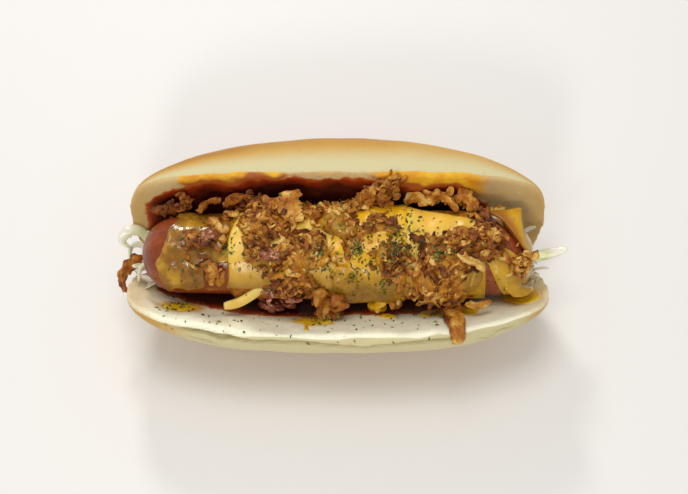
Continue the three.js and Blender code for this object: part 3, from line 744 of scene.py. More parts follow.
def sausage_skin():
    """Rings of the sausage, closer together at its ends, with shallow lumps and a pucker of wrinkles at each
    tip."""
    x = -np.cos(np.linspace(0, np.pi, 220))[1:-1, None] * SAUSAGE_HALF
    angle = np.linspace(-np.pi, np.pi, 128, endpoint=False)[None]
    radius = skin_radius(x)
    bare = round_sausage(x, angle, radius)
    tip = smooth_step(66, 73, np.abs(x))
    pucker = 0.35 * tip * np.sin(9 * angle + np.sign(x)) * radius / SAUSAGE_RADIUS
    radius = radius + (0.16 * lumps(bare, 13, 21) + 0.05 * lumps(bare, 4, 22) - 0.2) * (1 - tip) + pucker
    return tubes("sausage_skin", round_sausage(x, angle, np.maximum(radius, 0.05)))


def sausage_finish():
    """Smoked skin: brown-red with paler and darker clouds, moist, with faint wrinkles along it."""
    skin = Finish("sausage skin", Roughness=0.3, Subsurface_Weight=0.12, Subsurface_Scale=0.003)
    skin.surface.inputs["Subsurface Radius"].default_value = (1.0, 0.35, 0.2)
    skin.surface.inputs["Coat Weight"].default_value = 0.15
    skin.surface.inputs["Specular IOR Level"].default_value = 0.35
    skin.surface.inputs["Coat Roughness"].default_value = 0.12
    tone = skin.noise(11, 4) * 0.6 + skin.noise(2.2, 4, 0.65) * 0.4
    colour = skin.shades(
        tone, (0.3, paint(106, 40, 12)), (0.5, paint(138, 60, 22)), (0.72, paint(172, 90, 40)),
    )
    relief = skin.noise(1.6, 4, 0.6)
    return skin.set(
        Base_Color=colour, Roughness=0.26 + skin.noise(5, 3) * 0.16, Normal=skin.bump(relief, 0.12, 0.5),
    )


serve(sausage_skin(), sausage_finish(), "sausage", "sausage")

# %% [markdown]
# Mustard is thick enough to stand up from the skin with a round edge. A mask in the sausage's finish would
# leave it flat, so it is a mesh of its own: a tube just under the skin that swells out wherever the coat
# lies. The skin itself then trims its edge.

# %% Where mustard lies on the sausage
def run(x, around, x0, y0, x1, y1, width):
    """A run of sauce from one place to another: 1 on its middle line, 0 past its width."""
    length = (x1 - x0) ** 2 + (y1 - y0) ** 2
    t = np.clip(((x - x0) * (x1 - x0) + (around - y0) * (y1 - y0)) / length, 0, 1)
    off = np.hypot(x - mix(x0, x1, t), around - mix(y0, y1, t)) / width
    return np.maximum(0, 1 - off ** 2)


def coat_cover(x, angle):
    """How much mustard lies at a place, 0 to 1: a coat at the left with a gap in it, and runs at the
    right."""
    place = np.stack(np.broadcast_arrays(x, angle * SAUSAGE_RADIUS, 0.0), axis=-1)
    ragged = 1.8 * lumps(place, 6, 31) + 0.8 * lumps(place, 2.8, 32)
    degrees = np.degrees(angle)
    left = smooth_step(-64, -61, x + 3.4 * np.sin(1.5 * angle) + ragged)
    left = left * (1 - smooth_step(-43, -38, x + ragged))
    left = left * smooth_step(-74, -60, degrees + 5 * ragged)
    left = left * (1 - smooth_step(74, 90, degrees + 8 * ragged + 10 * np.sin(0.5 * x)))
    gap = smooth_step(-51, -48, x + ragged) * smooth_step(34, 44, degrees + 4 * ragged)
    left = left * (1 - gap)
    around = angle * SAUSAGE_RADIUS + 0.6 * ragged
    right = np.maximum.reduce([
        run(x + 0.4 * ragged, around, 56, 4, 61, 9, 4.8), run(x + 0.4 * ragged, around, 61, 9, 66.5, 21, 6.2),
        run(x + 0.3 * ragged, around, 66, 16, 70, 26, 5.4), run(x, around, 50, 8, 51, 28, 4.6),
        run(x + 0.3 * ragged, around, 71.5, -8, 73, 12, 2.2),
    ])
    return np.maximum(left, smooth_step(0.0, 0.5, right))


place, turn = np.arange(-70, 74, 2.0)[:, None], np.linspace(-math.pi, math.pi, 90)[None]
print("mustard covers", round(float((coat_cover(place, turn) > 0.5).mean()), 2), "of the sausage")

# %% Mustard as a mesh, and its finish
def mustard_coat(name, start, end):
    """A tube under the skin that swells by the cover, with soft lumps and a thicker rim where it stopped
    running."""
    x = np.linspace(start, end, 150)[:, None]
    angle = np.linspace(-np.pi, np.pi, 220, endpoint=False)[None]
    cover = coat_cover(x, angle)
    surface = round_sausage(x, angle, SAUSAGE_RADIUS)
    rim = 4 * cover * (1 - cover)
    swell = smooth_step(0.0, 0.55, cover)
    thick = swell * (1.15 + 0.35 * lumps(surface, 5, 33) + 0.2 * lumps(surface, 2.4, 34) + 0.25 * rim)
    radius = skin_radius(x) - 0.55 + thick + 0.25 * swell
    return tubes(name, round_sausage(x, angle, np.maximum(radius, 0.05)))


def mustard_finish(name, *shades):
    """Thin mustard with melted cheese in it: glossy, yellow-brown where it is thin, yellow where it is
    thick."""
    sauce = Finish(name, Roughness=0.24, Subsurface_Weight=0.12, Subsurface_Scale=0.002)
    sauce.surface.inputs["Subsurface Radius"].default_value = (1.0, 0.7, 0.15)
    sauce.surface.inputs["Coat Weight"].default_value = 0.4
    sauce.surface.inputs["Coat Roughness"].default_value = 0.08
    sauce.surface.inputs["Specular IOR Level"].default_value = 0.22
    tone = sauce.noise(8, 3) * 0.8 + sauce.noise(2.2, 3) * 0.2
    colour = sauce.shades(
        tone, (0.32, paint(*shades[0])), (0.52, paint(*shades[1])), (0.7, paint(*shades[2])),
    )
    return sauce.set(Base_Color=colour, Normal=sauce.bump(sauce.noise(3, 3), 0.4, 0.7))


MUSTARD = mustard_finish("mustard", (112, 68, 16), (150, 102, 26), (206, 160, 44))
serve(mustard_coat("mustard_left", -70, -38), MUSTARD, "sausage")
YELLOW_MUSTARD = mustard_finish("yellow mustard", (166, 118, 24), (196, 150, 34), (222, 178, 44))
serve(mustard_coat("mustard_right", 45, 73), YELLOW_MUSTARD, "sausage")

# %% [markdown]
# A cheese slice that melts over a round thing keeps its four edges but loses its stiffness: it sags, its
# edges go round and thick, and its surface turns satin with small dents. Each slice is a sheet wrapped round
# the sausage, as the solids are, its thickness running out at the edges in a superellipse.

# %% A sheet wrapped round the sausage
CHEESE_RADIUS = SAUSAGE_RADIUS + 0.6
CHEESE_THICKNESS = 2.2
CHEESE_WAVE = 0.25


def waves(x, angle, phase):
    """Smooth bumps from a few crossed waves, between about -1 and 1."""
    first = 0.45 * np.sin(0.21 * x + 1.9 * angle + phase)
    second = 0.33 * np.sin(0.43 * x - 3.1 * angle + 2.3 * phase)
    return first + second + 0.22 * np.sin(0.83 * x + 4.7 * angle + 0.7 * phase)


def slice_rise(x, angle):
    """Where onions under the slices push them up: over the far side of the middle and right slices."""
    far_side = smooth_step(math.radians(10), math.radians(-35), angle)
    right = smooth_step(26, 34, x)
    return far_side * (2.3 * smooth_step(4, 14, x) * (1 - right) + 1.0 * right)


def slice_rings(outline, phase, dented=1.0, rows=110, columns=100):
    """Rings along X of a wrapped sheet; outline gives (x, angle) for shares t along and s round."""
    t = np.linspace(0, 1, rows)[:, None]
    loop = np.linspace(0, 2 * np.pi, 2 * columns, endpoint=False)[None]
    s = 0.5 - 0.5 * np.sign(np.cos(loop)) * np.abs(np.cos(loop)) ** 0.8
    x, angle = outline(t, s)
    edge_round = (1 - np.abs(2 * s - 1) ** 9) ** 0.5
    end_round = (1 - np.abs(2 * t - 1) ** 14) ** 0.5
    thick = CHEESE_THICKNESS / 2 * np.maximum(0.02, edge_round * end_round)
    place = round_sausage(x, angle, CHEESE_RADIUS)
    wavy = CHEESE_RADIUS + CHEESE_WAVE * (1 + waves(x, angle, phase))
    middle = wavy + CHEESE_THICKNESS / 2 + slice_rise(x, angle)
    dent = dented * (0.22 * lumps(place, 6, 41) + 0.14 * lumps(place, 2.6, 42))
    bead = 0.35 * smooth_step(0.86, 0.97, s)
    outer = np.sin(loop) > 0
    radius = np.where(outer, middle + thick * (1 + bead) + dent * edge_round, middle - thick)
    return round_sausage(x, angle, radius)


print("the slices lie", CHEESE_RADIUS, "mm from the sausage's middle")

# %% Outlines of the three slices
def left_outline(t, s):
    """The left slice: its left edge runs slightly outwards towards the near side."""
    angle = np.radians(mix(-58, 74 + 4 * t, s))
    return mix(mix(-37.5, -41.5, s) + 0.8 * np.sin(9 * s), -1.2, t), angle


def middle_outline(t, s):
    """The middle slice hangs down lowest, with a drip in its near edge."""
    drip = 10 * np.sin(np.pi * t) + 5 * np.exp(-((t - 0.72) / 0.09) ** 2)
    start = -2.6 + 0.9 * np.sin(7 * s + 1) + 0.4 * np.sin(19 * s)
    return mix(start, 25.8 + 0.7 * np.sin(6 * s), t), np.radians(mix(-68, 104 + drip, s))


def right_outline(t, s):
    """The right slice lies askew, so its far edge runs down to a corner."""
    far = mix(-50, -14, t ** 1.4)
    near = mix(88, 70, t)
    return mix(24.2, 57 - 8 * s + 0.6 * np.sin(8 * s), t), np.radians(mix(far, near, s))


for outline in (left_outline, middle_outline, right_outline):
    print(outline.__name__, "ends at", round(math.degrees(outline(0.5, 1.0)[1])), "degrees on the near side")

# %% [markdown]
# Melted cheese is half clear: light goes in and comes out yellow beside the place where it went in. So the
# finish scatters light below the surface, most in red and least in blue. Low on the near side the slices are
# painted olive-brown by their height over the ground: painted shade, as that side lies in shadow.

# %% Finish of cheese
def cheese_finish(name, pale, deep, painted_shade_dark=(130, 86, 18), painted_shade_light=(182, 128, 29), painted_shade_share=0.9):
    """Melted cheese: satin, with light scattered inside it. Low down it is painted olive-brown as painted
    shade.
    A place that is marked deep turns brown, and one that is marked as a tip is thin and nearly white."""
    cheese = Finish(name, Roughness=0.3, Subsurface_Weight=0.35, Subsurface_Scale=0.004)
    cheese.surface.inputs["Subsurface Radius"].default_value = (1.0, 0.6, 0.12)
    cheese.surface.inputs["Coat Weight"].default_value = 0.12
    cheese.surface.inputs["Coat Roughness"].default_value = 0.2
    cheese.surface.inputs["Specular IOR Level"].default_value = 0.35
    tone = cheese.noise(9, 4) * 0.7 + cheese.noise(2, 3) * 0.3
    colour = cheese.shades(tone, (0.35, deep), (0.65, pale))
    clouds = cheese.noise(5, 5, 0.65)
    # painted shade: lower down, by height over the ground, the slices turn olive-brown, as their near side
    # lies in shadow
    soaked = cheese.shades(clouds, (0.36, paint(*painted_shade_dark)), (0.66, paint(*painted_shade_light)))
    colour = cheese.blend((1 - cheese.above(44, 58)) * painted_shade_share, colour, soaked)
    colour = cheese.blend(cheese.marked("deep") * 0.8, colour, paint(150, 78, 18))
    colour = cheese.blend(cheese.marked("tip"), colour, paint(232, 218, 176))
    relief = cheese.noise(3, 3) * 0.7 + cheese.noise(0.8, 3) * 0.3
    return cheese.set(Base_Color=colour, Normal=cheese.bump(relief, 0.32, 0.6))


DEEP_CHEESE = cheese_finish(
    "deep yellow cheese", paint(246, 194, 30), paint(234, 170, 18), (104, 68, 16), (162, 116, 29),
)
PALE_CHEESE = cheese_finish("pale yellow cheese", paint(244, 204, 92), paint(234, 180, 54))
print("made:", DEEP_CHEESE.name, "and", PALE_CHEESE.name)

# %% [markdown]
# Slipped corners, onion, cabbage and bacon are all strips that bend and twist. One helper makes them: a
# smooth curve through a few knots, a flattened ring carried along it, and lumps that roughen its edge. It
# works on many strips at once, because one array of a thousand strips is far quicker than a thousand curves.

# %% Bent strips, for onion, cabbage, bacon and the corners of a slice
def along_curve(knots, count):
    """Points, evenly in share, on smooth curves through knots (pieces, knots, xyz): between two knots runs a
    cubic whose slope at each knot is half the step from the knot before it to the one after it."""
    before, after = 2 * knots[:, :1] - knots[:, 1:2], 2 * knots[:, -1:] - knots[:, -2:-1]
    knots = np.concatenate([before, knots, after], axis=1)
    spans = knots.shape[1] - 3
    t = np.linspace(0, spans, count)
    k = np.minimum(t.astype(int), spans - 1)
    u = (t - k)[None, :, None]
    a, b, c, d = (knots[:, k + j] for j in range(4))
    return 0.5 * (
        2 * b + (c - a) * u + (2 * a - 5 * b + 4 * c - d) * u ** 2 + (3 * b - a - 3 * c + d) * u ** 3
    )


def unit(vectors):
    """Vectors scaled to length 1."""
    return vectors / np.maximum(1e-9, np.linalg.norm(vectors, axis=-1, keepdims=True))


def strip_rings(
    knots, width, thickness, roll=0.0, twist=0.0, rows=12, columns=10, end=0.55, ragged=0.0, seed=0, cup=0.0,
):
    """Rings of flat strips along curves. The section is a flattened ring turned from roll to roll + twist,
    narrower at both ends and hollow by cup, a share of the width; ragged roughens it by another such
    share."""
    centre = along_curve(knots, rows)
    ahead = unit(np.gradient(centre, axis=1))
    side = np.cross(ahead, np.array([0.0, 0.0, 1.0]))
    side = np.where(np.linalg.norm(side, axis=-1, keepdims=True) < 0.1, np.array([0.0, 1.0, 0.0]), side)
    side = unit(side - ahead * (side * ahead).sum(axis=-1, keepdims=True))
    up = np.cross(side, ahead)
    share = np.linspace(0, 1, rows)
    column = (np.asarray(value, float).reshape(-1, 1) for value in (width, thickness, roll, twist, cup))
    width, thickness, roll, twist, cup = column
    turn = (roll + twist * share)[..., None]
    side, up = side * np.cos(turn) + up * np.sin(turn), up * np.cos(turn) - side * np.sin(turn)
    size = 1 - end * np.abs(2 * share - 1) ** 4
    angle = np.linspace(0, 2 * np.pi, columns, endpoint=False)
    across = np.sign(np.cos(angle)) * np.abs(np.cos(angle)) ** 0.8
    over = np.sign(np.sin(angle)) * np.abs(np.sin(angle)) ** 0.8
    wide = (width * size / 2)[..., None] * across
    high = (thickness * size / 2)[..., None] * over + (width * cup * size)[..., None] * (across ** 2 - 0.5)
    rings = centre[:, :, None] + side[:, :, None] * wide[..., None] + up[:, :, None] * high[..., None]
    rough = lumps(rings + seed, 1.7, 50 + seed) + 0.6 * lumps(rings + seed, 0.9, 51 + seed)
    push = unit(rings - centre[:, :, None]) * (rough * ragged)[..., None] * width[:, :, None, None]
    return rings + push


straight = strip_rings(np.array([[(0, 0, 0), (5, 0, 0), (10, 0, 0)]], float), 4, 1)
print("a straight strip measures", np.ptp(straight.reshape(-1, 3), axis=0).round(2), "mm")

# %% [markdown]
# The left slice has a corner that curled out over the near lip, the middle one a drip at its lower edge, and
# the right one a corner that stands up against the far half and runs down round the sausage's end. The first
# two are strips along knots round the sausage. The last is a thin sheet, whose distance from the sausage
# changes along it.

# %% Two corners that have slipped
def corner_strip(name, places, width, thickness, roll, end):
    """One smooth strip whose knots are (x, angle in degrees, distance from the sausage's middle)."""
    x, angle, radius = np.array(places).T
    knots = round_sausage(x, np.radians(angle), radius)[None]
    return tubes(name, strip_rings(knots, width, thickness, roll, 0.0, 40, 24, end))


curl = corner_strip("slice_curl", [
    (-28, 72, CHEESE_RADIUS + 1.4), (-32, 84, CHEESE_RADIUS + 2.4),
    (-37, 91, CHEESE_RADIUS + 4.4), (-42, 87, CHEESE_RADIUS + 6.6),
], 4.0, 2.2, math.radians(60), 0.3)
drip = corner_strip("slice_drip", [
    (15.6, 84, CHEESE_RADIUS - 0.6), (15.2, 101, CHEESE_RADIUS + 1.2), (14.9, 114, CHEESE_RADIUS + 2.4),
    (14.8, 122, CHEESE_RADIUS + 4.2), (14.7, 127, CHEESE_RADIUS + 6.4),
], 7.5, 2.8, 0.0, 0.75)
print("the drip hangs down to", round(float(points_of(drip)[:, 2].min()), 1), "mm")

# %% The thin corner that stands up
def corner_sheet():
    """The thin corner beyond the right slice: it stands up at the far side, and narrows to a run that follows
    the sausage's round end down to the near side."""
    t = np.linspace(0, 1, 70)[:, None]
    loop = np.linspace(0, 2 * np.pi, 160, endpoint=False)[None]
    s = 0.5 - 0.5 * np.sign(np.cos(loop)) * np.abs(np.cos(loop)) ** 0.8
    x = mix(52 + 17 * s ** 0.7, 69.2 - 1.6 * np.sin(np.pi * s) + 1.6 * s, t)
    angle = np.radians(mix(mix(-50, -61, t ** 2), 17, s))
    hug = smooth_step(0.1, 0.85, s)
    radius = mix(CHEESE_RADIUS + 2.2 + 0.8 * t ** 2, np.maximum(skin_radius(x), 8) + 1.6, hug)
    thin = 0.75 * (1 - np.abs(2 * s - 1) ** 8) ** 0.5 * (1 - np.abs(2 * t - 1) ** 12) ** 0.5 + 0.02
    place = round_sausage(x, angle, radius)
    bumps = 0.35 * lumps(place, 3.5, 43)
    radius = radius + bumps + np.where(np.sin(loop) > 0, thin, -thin)
    sheet = tubes("slice_corner", round_sausage(x, angle, radius))
    tip = smooth_step(0.8, 0.98, t) * (1 - smooth_step(0.04, 0.2, s))
    deep = (1 - smooth_step(0.15, 0.75, t)) + 0 * s
    for mark, values in {"tip": tip, "deep": deep}.items():
        mark_points(sheet, mark, np.append(values.ravel(), [values[0].mean(), values[-1].mean()]))
    return sheet


flap = corner_sheet()
print("the corner stands up to", round(float(points_of(flap)[:, 2].max()), 1), "mm")

# %% The slices and their corners, served
left_slice = tubes("slice_left", slice_rings(left_outline, 1.2))
middle_slice = tubes("slice_middle", slice_rings(middle_outline, 2.6, 2.4))
right_slice = tubes("slice_right", slice_rings(right_outline, 4.1))
serve(left_slice, PALE_CHEESE, "cheese", "cheese_left")
serve(middle_slice, DEEP_CHEESE, "cheese", "cheese_middle")
serve(right_slice, PALE_CHEESE, "cheese", "cheese_right")
CURL_CHEESE = cheese_finish("cheese of the curl", paint(252, 222, 130), paint(244, 204, 96), painted_shade_share=0.1)
serve(curl, CURL_CHEESE, "cheese")
DRIP_CHEESE = cheese_finish("cheese of the drip", paint(244, 196, 40), paint(224, 164, 24), painted_shade_share=0.2)
serve(drip, DRIP_CHEESE, "cheese")
CLEAR_CHEESE = cheese_finish("clear cheese", paint(212, 166, 34), paint(188, 134, 20), painted_shade_share=0.0)
serve(flap, CLEAR_CHEESE, "cheese")

# %% [markdown]
# Fried onion is what is left of thin rings: curled ribbons, broken chips and crumbs, blistered and darkest
# along their edges. They lie on one another, so they are dropped one by one on a map of heights wrapped round
# the sausage: each rests on what lies under it and raises the map there. Where cheese shows, few are dropped.
# A physics simulation would pile them up too, but slowly, and it would let them slide off the round cheese.

# %% The heap: a map of heights round the sausage
HEAP_RADIUS = CHEESE_RADIUS + 2 * CHEESE_WAVE + CHEESE_THICKNESS + 0.45
MAP_STEP = 0.7
MAP_START = np.array([-75.0, -2.0 * HEAP_RADIUS])
MAP_SHAPE = (215, 115)
HEAP_DEPTH = 6.0
HEAP_ANGLES = (-1.3, 1.95)
BROWNING = {"dark": (0.10, 0.50), "brown": (0.22, 0.92), "gold": (0.55, 1.0), "pale": (0.75, 1.05)}
random = np.random.default_rng(7)


def room_to_far_face(x, angle):
    """How far the far cut face lets anything stand out from the sausage's middle at an angle."""
    lean = math.radians(DOME_LEAN)
    y, z = sausage_centre(x)
    lift = nose_lift(x / HALF_LENGTH)
    away = (HINGE_SIDE - y) * math.cos(lean) + (z - HINGE_HEIGHT - lift) * math.sin(lean)
    facing = -np.sin(angle) * math.cos(lean) - np.cos(angle) * math.sin(lean)
    return np.where(facing > 0.05, (away - 0.8) / np.maximum(facing, 0.05), 100.0)


def bed_radius(x, angle):
    """What the onions lie on: the slices in the middle, the coated skin at both ends."""
    right_end = 55.5 - 8 * np.clip((np.degrees(angle) + 14) / 84, 0, 1)
    on_slice = smooth_step(-41, -38, x) * (1 - smooth_step(right_end - 1.5, right_end + 1.5, x))
    round_far = smooth_step(math.radians(-72), math.radians(-58), angle)
    cheese = CHEESE_RADIUS + CHEESE_THICKNESS + 0.4 + slice_rise(x, angle)
    return mix(skin_radius(x) + 0.9, cheese, on_slice * round_far)


def bare_places(x, angle):
    """How much of the cheese stays free of onion at a place, 0 to 1."""
    degrees = np.degrees(angle)

    def patch(x_low, x_high, low, high):
        inside = smooth_step(x_low - 2, x_low + 2, x) * (1 - smooth_step(x_high - 2, x_high + 2, x))
        inside = inside * smooth_step(low - 6, low + 6, degrees)
        return inside * (1 - smooth_step(high - 6, high + 6, degrees))

    return np.maximum.reduce([
        patch(9, 28, -70, -16), patch(26, 52, -70, -2), patch(-8, 14, 42, 125), patch(8, 20, 68, 125),
        patch(-42, -24, 50, 100), patch(-42, -35, -60, 60), patch(60, 75, -30, 26), patch(45, 63, 40, 95),
    ])


print("room to the far face, straight across:", room_to_far_face(0.0, -math.pi / 2).round(1), "mm")

# %% Dropping one piece on the map
map_axes = [MAP_START[k] + MAP_STEP * np.arange(MAP_SHAPE[k]) for k in (0, 1)]
map_x, map_round = np.meshgrid(*map_axes, indexing="ij")
heights = bed_radius(map_x, map_round / HEAP_RADIUS)


def settle(x, angle, heading, length, width, thickness, spring):
    """Lays a piece on the map: returns its distance from the sausage's middle, its pitch and whether it
    fits."""
    reach = np.linspace(-0.5, 0.5, 9) * length
    across = np.array([-0.3, 0.3])[:, None] * width
    u = x + reach * math.cos(heading) - across * math.sin(heading)
    w = angle * HEAP_RADIUS + reach * math.sin(heading) + across * math.cos(heading)
    i = np.clip(((u - MAP_START[0]) / MAP_STEP).round().astype(int), 0, MAP_SHAPE[0] - 1)
    j = np.clip(((w - MAP_START[1]) / MAP_STEP).round().astype(int), 0, MAP_SHAPE[1] - 1)
    under = heights[i, j]
    slope = np.polyfit(reach, under.mean(axis=0), 1)[0]
    radius = float(np.percentile(under, 60)) + thickness * 0.5 + spring
    room = min(HEAP_RADIUS + HEAP_DEPTH, float(room_to_far_face(x, angle)) - 0.6)
    fits = radius < room and HEAP_ANGLES[0] < angle < HEAP_ANGLES[1]
    if fits:
        heights[i, j] = np.maximum(under, radius + thickness * 0.3)
    return radius, math.atan(0.8 * slope), fits


print("the bare map, from the sausage's middle:", heights.min().round(1), "to", heights.max().round(1), "mm")

# %% Where onion lies, and how much of it
PATCHES = [
    # middle along X, middle angle, spread along X, spread of the angle, ribbons, crumbs, browning
    (-30, -22, 6, 20, 64, 50, "brown"),
    (-24, -60, 9, 7, 24, 18, "brown"),
    (-3, -18, 8, 20, 34, 16, "gold"),
    (-10, 30, 5, 8, 8, 22, "pale"),
    (-10, 12, 4, 7, 10, 10, "brown"),
    (-25, 34, 6, 11, 8, 16, "brown"),
    (-17, 62, 6, 5, 22, 24, "brown"),
    (-4, 84, 3, 8, 14, 16, "dark"),
    (13, -16, 4, 8, 10, 8, "brown"),
    (21, 30, 3.5, 16, 16, 34, "brown"),
    (40, 40, 6.5, 17, 44, 46, "brown"),
    (47, 8, 6, 5, 24, 32, "brown"),
    (31, 68, 5, 9, 12, 16, "gold"),
    (42, 78, 5, 7, 12, 16, "brown"),
    (56, 3, 3, 15, 24, 30, "brown"),
    (-1, 52, 2, 5, 3, 4, "brown"),
    (16, 96, 3, 6, 5, 10, "gold"),
    (67, 36, 2.2, 14, 9, 18, "gold"),
    (-50, 6, 4, 12, 10, 12, "brown"),
    (-46, 48, 3, 8, 4, 8, "gold"),
    (40, -54, 8, 6, 16, 12, "gold"),
    (12, -54, 5, 8, 16, 14, "pale"),
]


print("patches of onion:", len(PATCHES))

# %% Dropping ribbons and crumbs, patch by patch
def drop_pieces(kind):
    """Places and sizes of every ribbon or crumb, dropped patch by patch, the longest first."""
    rows = []
    for x0, angle0, x_spread, angle_spread, ribbons, crumbs, browning in PATCHES:
        count = round(1.25 * ribbons) if kind == "ribbon" else crumbs
        x = random.normal(x0, x_spread, count)
        angle = np.radians(random.normal(angle0, angle_spread, count))
        keep = random.random(count) > 0.95 * bare_places(x, angle)
        if kind == "ribbon":
            length = random.uniform(3.2, 9.0, count)
            width = random.uniform(1.3, 3.8, count)
            thickness = random.uniform(0.4, 0.75, count)
        else:
            length = random.uniform(1.0, 3.4, count)
            width = length * random.uniform(0.35, 0.8, count)
            thickness = random.uniform(0.35, 0.9, count)
        tone = random.uniform(*BROWNING[browning], count)
        rows.append(np.stack([x, angle, length, width, thickness, tone], axis=-1)[keep])
    rows = np.concatenate(rows)
    rows = rows[np.argsort(-rows[:, 2] + random.normal(0, 2, len(rows)))]
    heading = random.uniform(0, np.pi, len(rows))
    placed = []
    for row, turn in zip(rows, heading):
        x, angle, length, width, thickness, tone = row
        spring = 0.5 if kind == "ribbon" else 0.0
        radius, pitch, fits = settle(x, angle, turn, length, width, thickness, spring)
        if fits:
            placed.append((*row, turn, radius, pitch))
    return np.array(placed)


# %% Ribbons and crumbs as meshes
def ribbon_knots(x, angle, radius, heading, pitch, length, curl, bend):
    """Five knots of each ribbon on the heap: straight ahead along its heading, arched outwards by curl and
    bent sideways in an S by bend, both as shares of its length."""
    middle = round_sausage(x, angle, radius)
    out = round_sausage(x, angle, radius + 1) - middle
    along = np.array([1.0, 0.0, 0.0])
    about = np.cross(out, along)
    forward = along * np.cos(heading)[:, None] + about * np.sin(heading)[:, None]
    side = unit(np.cross(out, forward))
    forward = forward * np.cos(pitch)[:, None] + out * np.sin(pitch)[:, None]
    t = np.linspace(-0.5, 0.5, 5)[None, :, None]
    length, curl, bend = (value[:, None, None] for value in (length, curl, bend))
    knots = middle[:, None] + forward[:, None] * t * length * (1 - 0.5 * curl)
    knots = knots + out[:, None] * curl * length * (0.25 - t ** 2) * 1.6
    return knots + side[:, None] * bend * length * np.sin(6 * t) * 0.3


arch = ribbon_knots(*(np.array([value]) for value in (0.0, 0.0, HEAP_RADIUS, 0.0, 0.0, 8.0, 0.3, 0.0)))
print("a ribbon of 8 mm with curl 0.3 rises", round(float(np.ptp(arch[..., 2])), 1), "mm")


def onion_pieces(name, kind, rows, columns, paler=0.0):
    """All ribbons or crumbs as one mesh, with the browning and the edge kept for each point."""
    x, angle, length, width, thickness, tone, heading, radius, pitch = drop_pieces(kind).T
    count = len(x)
    wild = 1.0 if kind == "ribbon" else 0.4
    knots = ribbon_knots(
        x, angle, radius, heading, pitch + wild * random.normal(0, 0.3, count), length,
        random.uniform(-0.15, 0.5, count) * wild, random.uniform(-1.2, 1.2, count),
    )
    rings = strip_rings(
        knots, width, thickness, random.normal(0, 0.6, count), random.normal(0, 1.2, count) * wild,
        rows, columns, end=0.5, ragged=0.22 if kind == "ribbon" else 0.28, seed=3,
        cup=random.uniform(-0.15, 0.35, count) * wild,
    )
    piece = tubes(name, rings)
    edge = np.abs(np.cos(np.linspace(0, 2 * np.pi, columns, endpoint=False)))[None, None]
    ends = np.abs(np.linspace(-1, 1, rows))[None, :, None] ** 3
    tones = paler + tone[:, None, None] - 0.14 * edge ** 3 - 0.18 * ends + 0.38 * lumps(rings, 1.9, 73)
    keep_tones(piece, tones)
    return piece


def keep_tones(piece, tones):
    """Marks each point of a joined set of strips with its tone; the two end points take their ring's mean."""
    ends = np.stack([tones[:, 0].mean(axis=1), tones[:, -1].mean(axis=1)], axis=1)
    mark_points(piece, "tone", np.concatenate([tones.reshape(len(tones), -1), ends], axis=1).ravel())


# %% [markdown]
# Onion darkens first where it is thinnest, so the browning is kept for each point when the pieces are made:
# darker along the edges and at both ends, in blotches between. The finish adds blisters and turns the number
# into a colour. Crumbs are dropped first, then ribbons on top, and last a few paler flakes.

# %% Finish of fried onion
def onion_finish():
    """Fried in oil: dark brown edges through gold to pale, blistered and slightly oily."""
    onion = Finish("fried onion", Roughness=0.52, Subsurface_Weight=0.1, Subsurface_Scale=0.0015)
    onion.surface.inputs["Specular IOR Level"].default_value = 0.28
    onion.surface.inputs["Subsurface Radius"].default_value = (1.0, 0.5, 0.12)
    onion.surface.inputs["Coat Weight"].default_value = 0.08
    onion.surface.inputs["Coat Roughness"].default_value = 0.25
    blisters = onion.noise(1.1, 4, 0.65)
    tone = onion.marked("tone") + (blisters - 0.5) * 0.8 + (onion.noise(5, 3) - 0.5) * 0.4
    colour = onion.shades(
        tone, (0.0, paint(72, 32, 10)), (0.28, paint(124, 64, 17)), (0.55, paint(166, 96, 26)),
        (0.8, paint(200, 136, 46)), (1.0, paint(228, 186, 100)),
    )
    relief = blisters * 0.7 + onion.noise(0.4, 3, 0.6) * 0.3
    return onion.set(Base_Color=colour, Normal=onion.bump(relief, 0.6, 0.9))


ONION = onion_finish()
serve(onion_pieces("onion_crumbs", "crumb", 7, 8, -0.2), ONION, "onion")
serve(onion_pieces("onion_ribbons", "ribbon", 13, 12), ONION, "onion")
serve(onion_pieces("onion_flakes", "crumb", 7, 8, 0.12), ONION, "onion")

# %% [markdown]
# Melted cheese and mustard have run in between the onions and bind them. A fluid simulation would be slow and
# hard to steer, so it is one closed sheet: its top is the map of heights, smoothed, raised where the heap is
# soaked and sunk where the onions are dry. Where nothing was dropped it stays under the slices.

# %% The binding under and between the onions
def smoothed(grid, size):
    """The map blurred by a bell curve of so many millimetres: split into waves, the finest of them faded."""
    waves_x, waves_y = np.meshgrid(*(np.fft.fftfreq(n, MAP_STEP) for n in grid.shape), indexing="ij")
    bell = np.exp(-2 * (np.pi * size) ** 2 * (waves_x ** 2 + waves_y ** 2))
    return np.fft.ifft2(np.fft.fft2(grid) * bell).real


def on_map(grid, x, angle):
    """The map's value at a place, blended between its four neighbours."""
    u = np.clip((x - MAP_START[0]) / MAP_STEP, 0, MAP_SHAPE[0] - 1.001)
    v = np.clip((angle * HEAP_RADIUS - MAP_START[1]) / MAP_STEP, 0, MAP_SHAPE[1] - 1.001)
    u, v = np.broadcast_arrays(u, v)
    i, j = u.astype(int), v.astype(int)
    return mix(mix(grid[i, j], grid[i + 1, j], u - i), mix(grid[i, j + 1], grid[i + 1, j + 1], u - i), v - j)


def spot(x, y, x0, y0, x_size, y_size):
    """A round patch that is 1 in its middle and 0 past its sizes."""
    return np.maximum(0, 1 - ((x - x0) / x_size) ** 2 - ((y - y0) / y_size) ** 2)


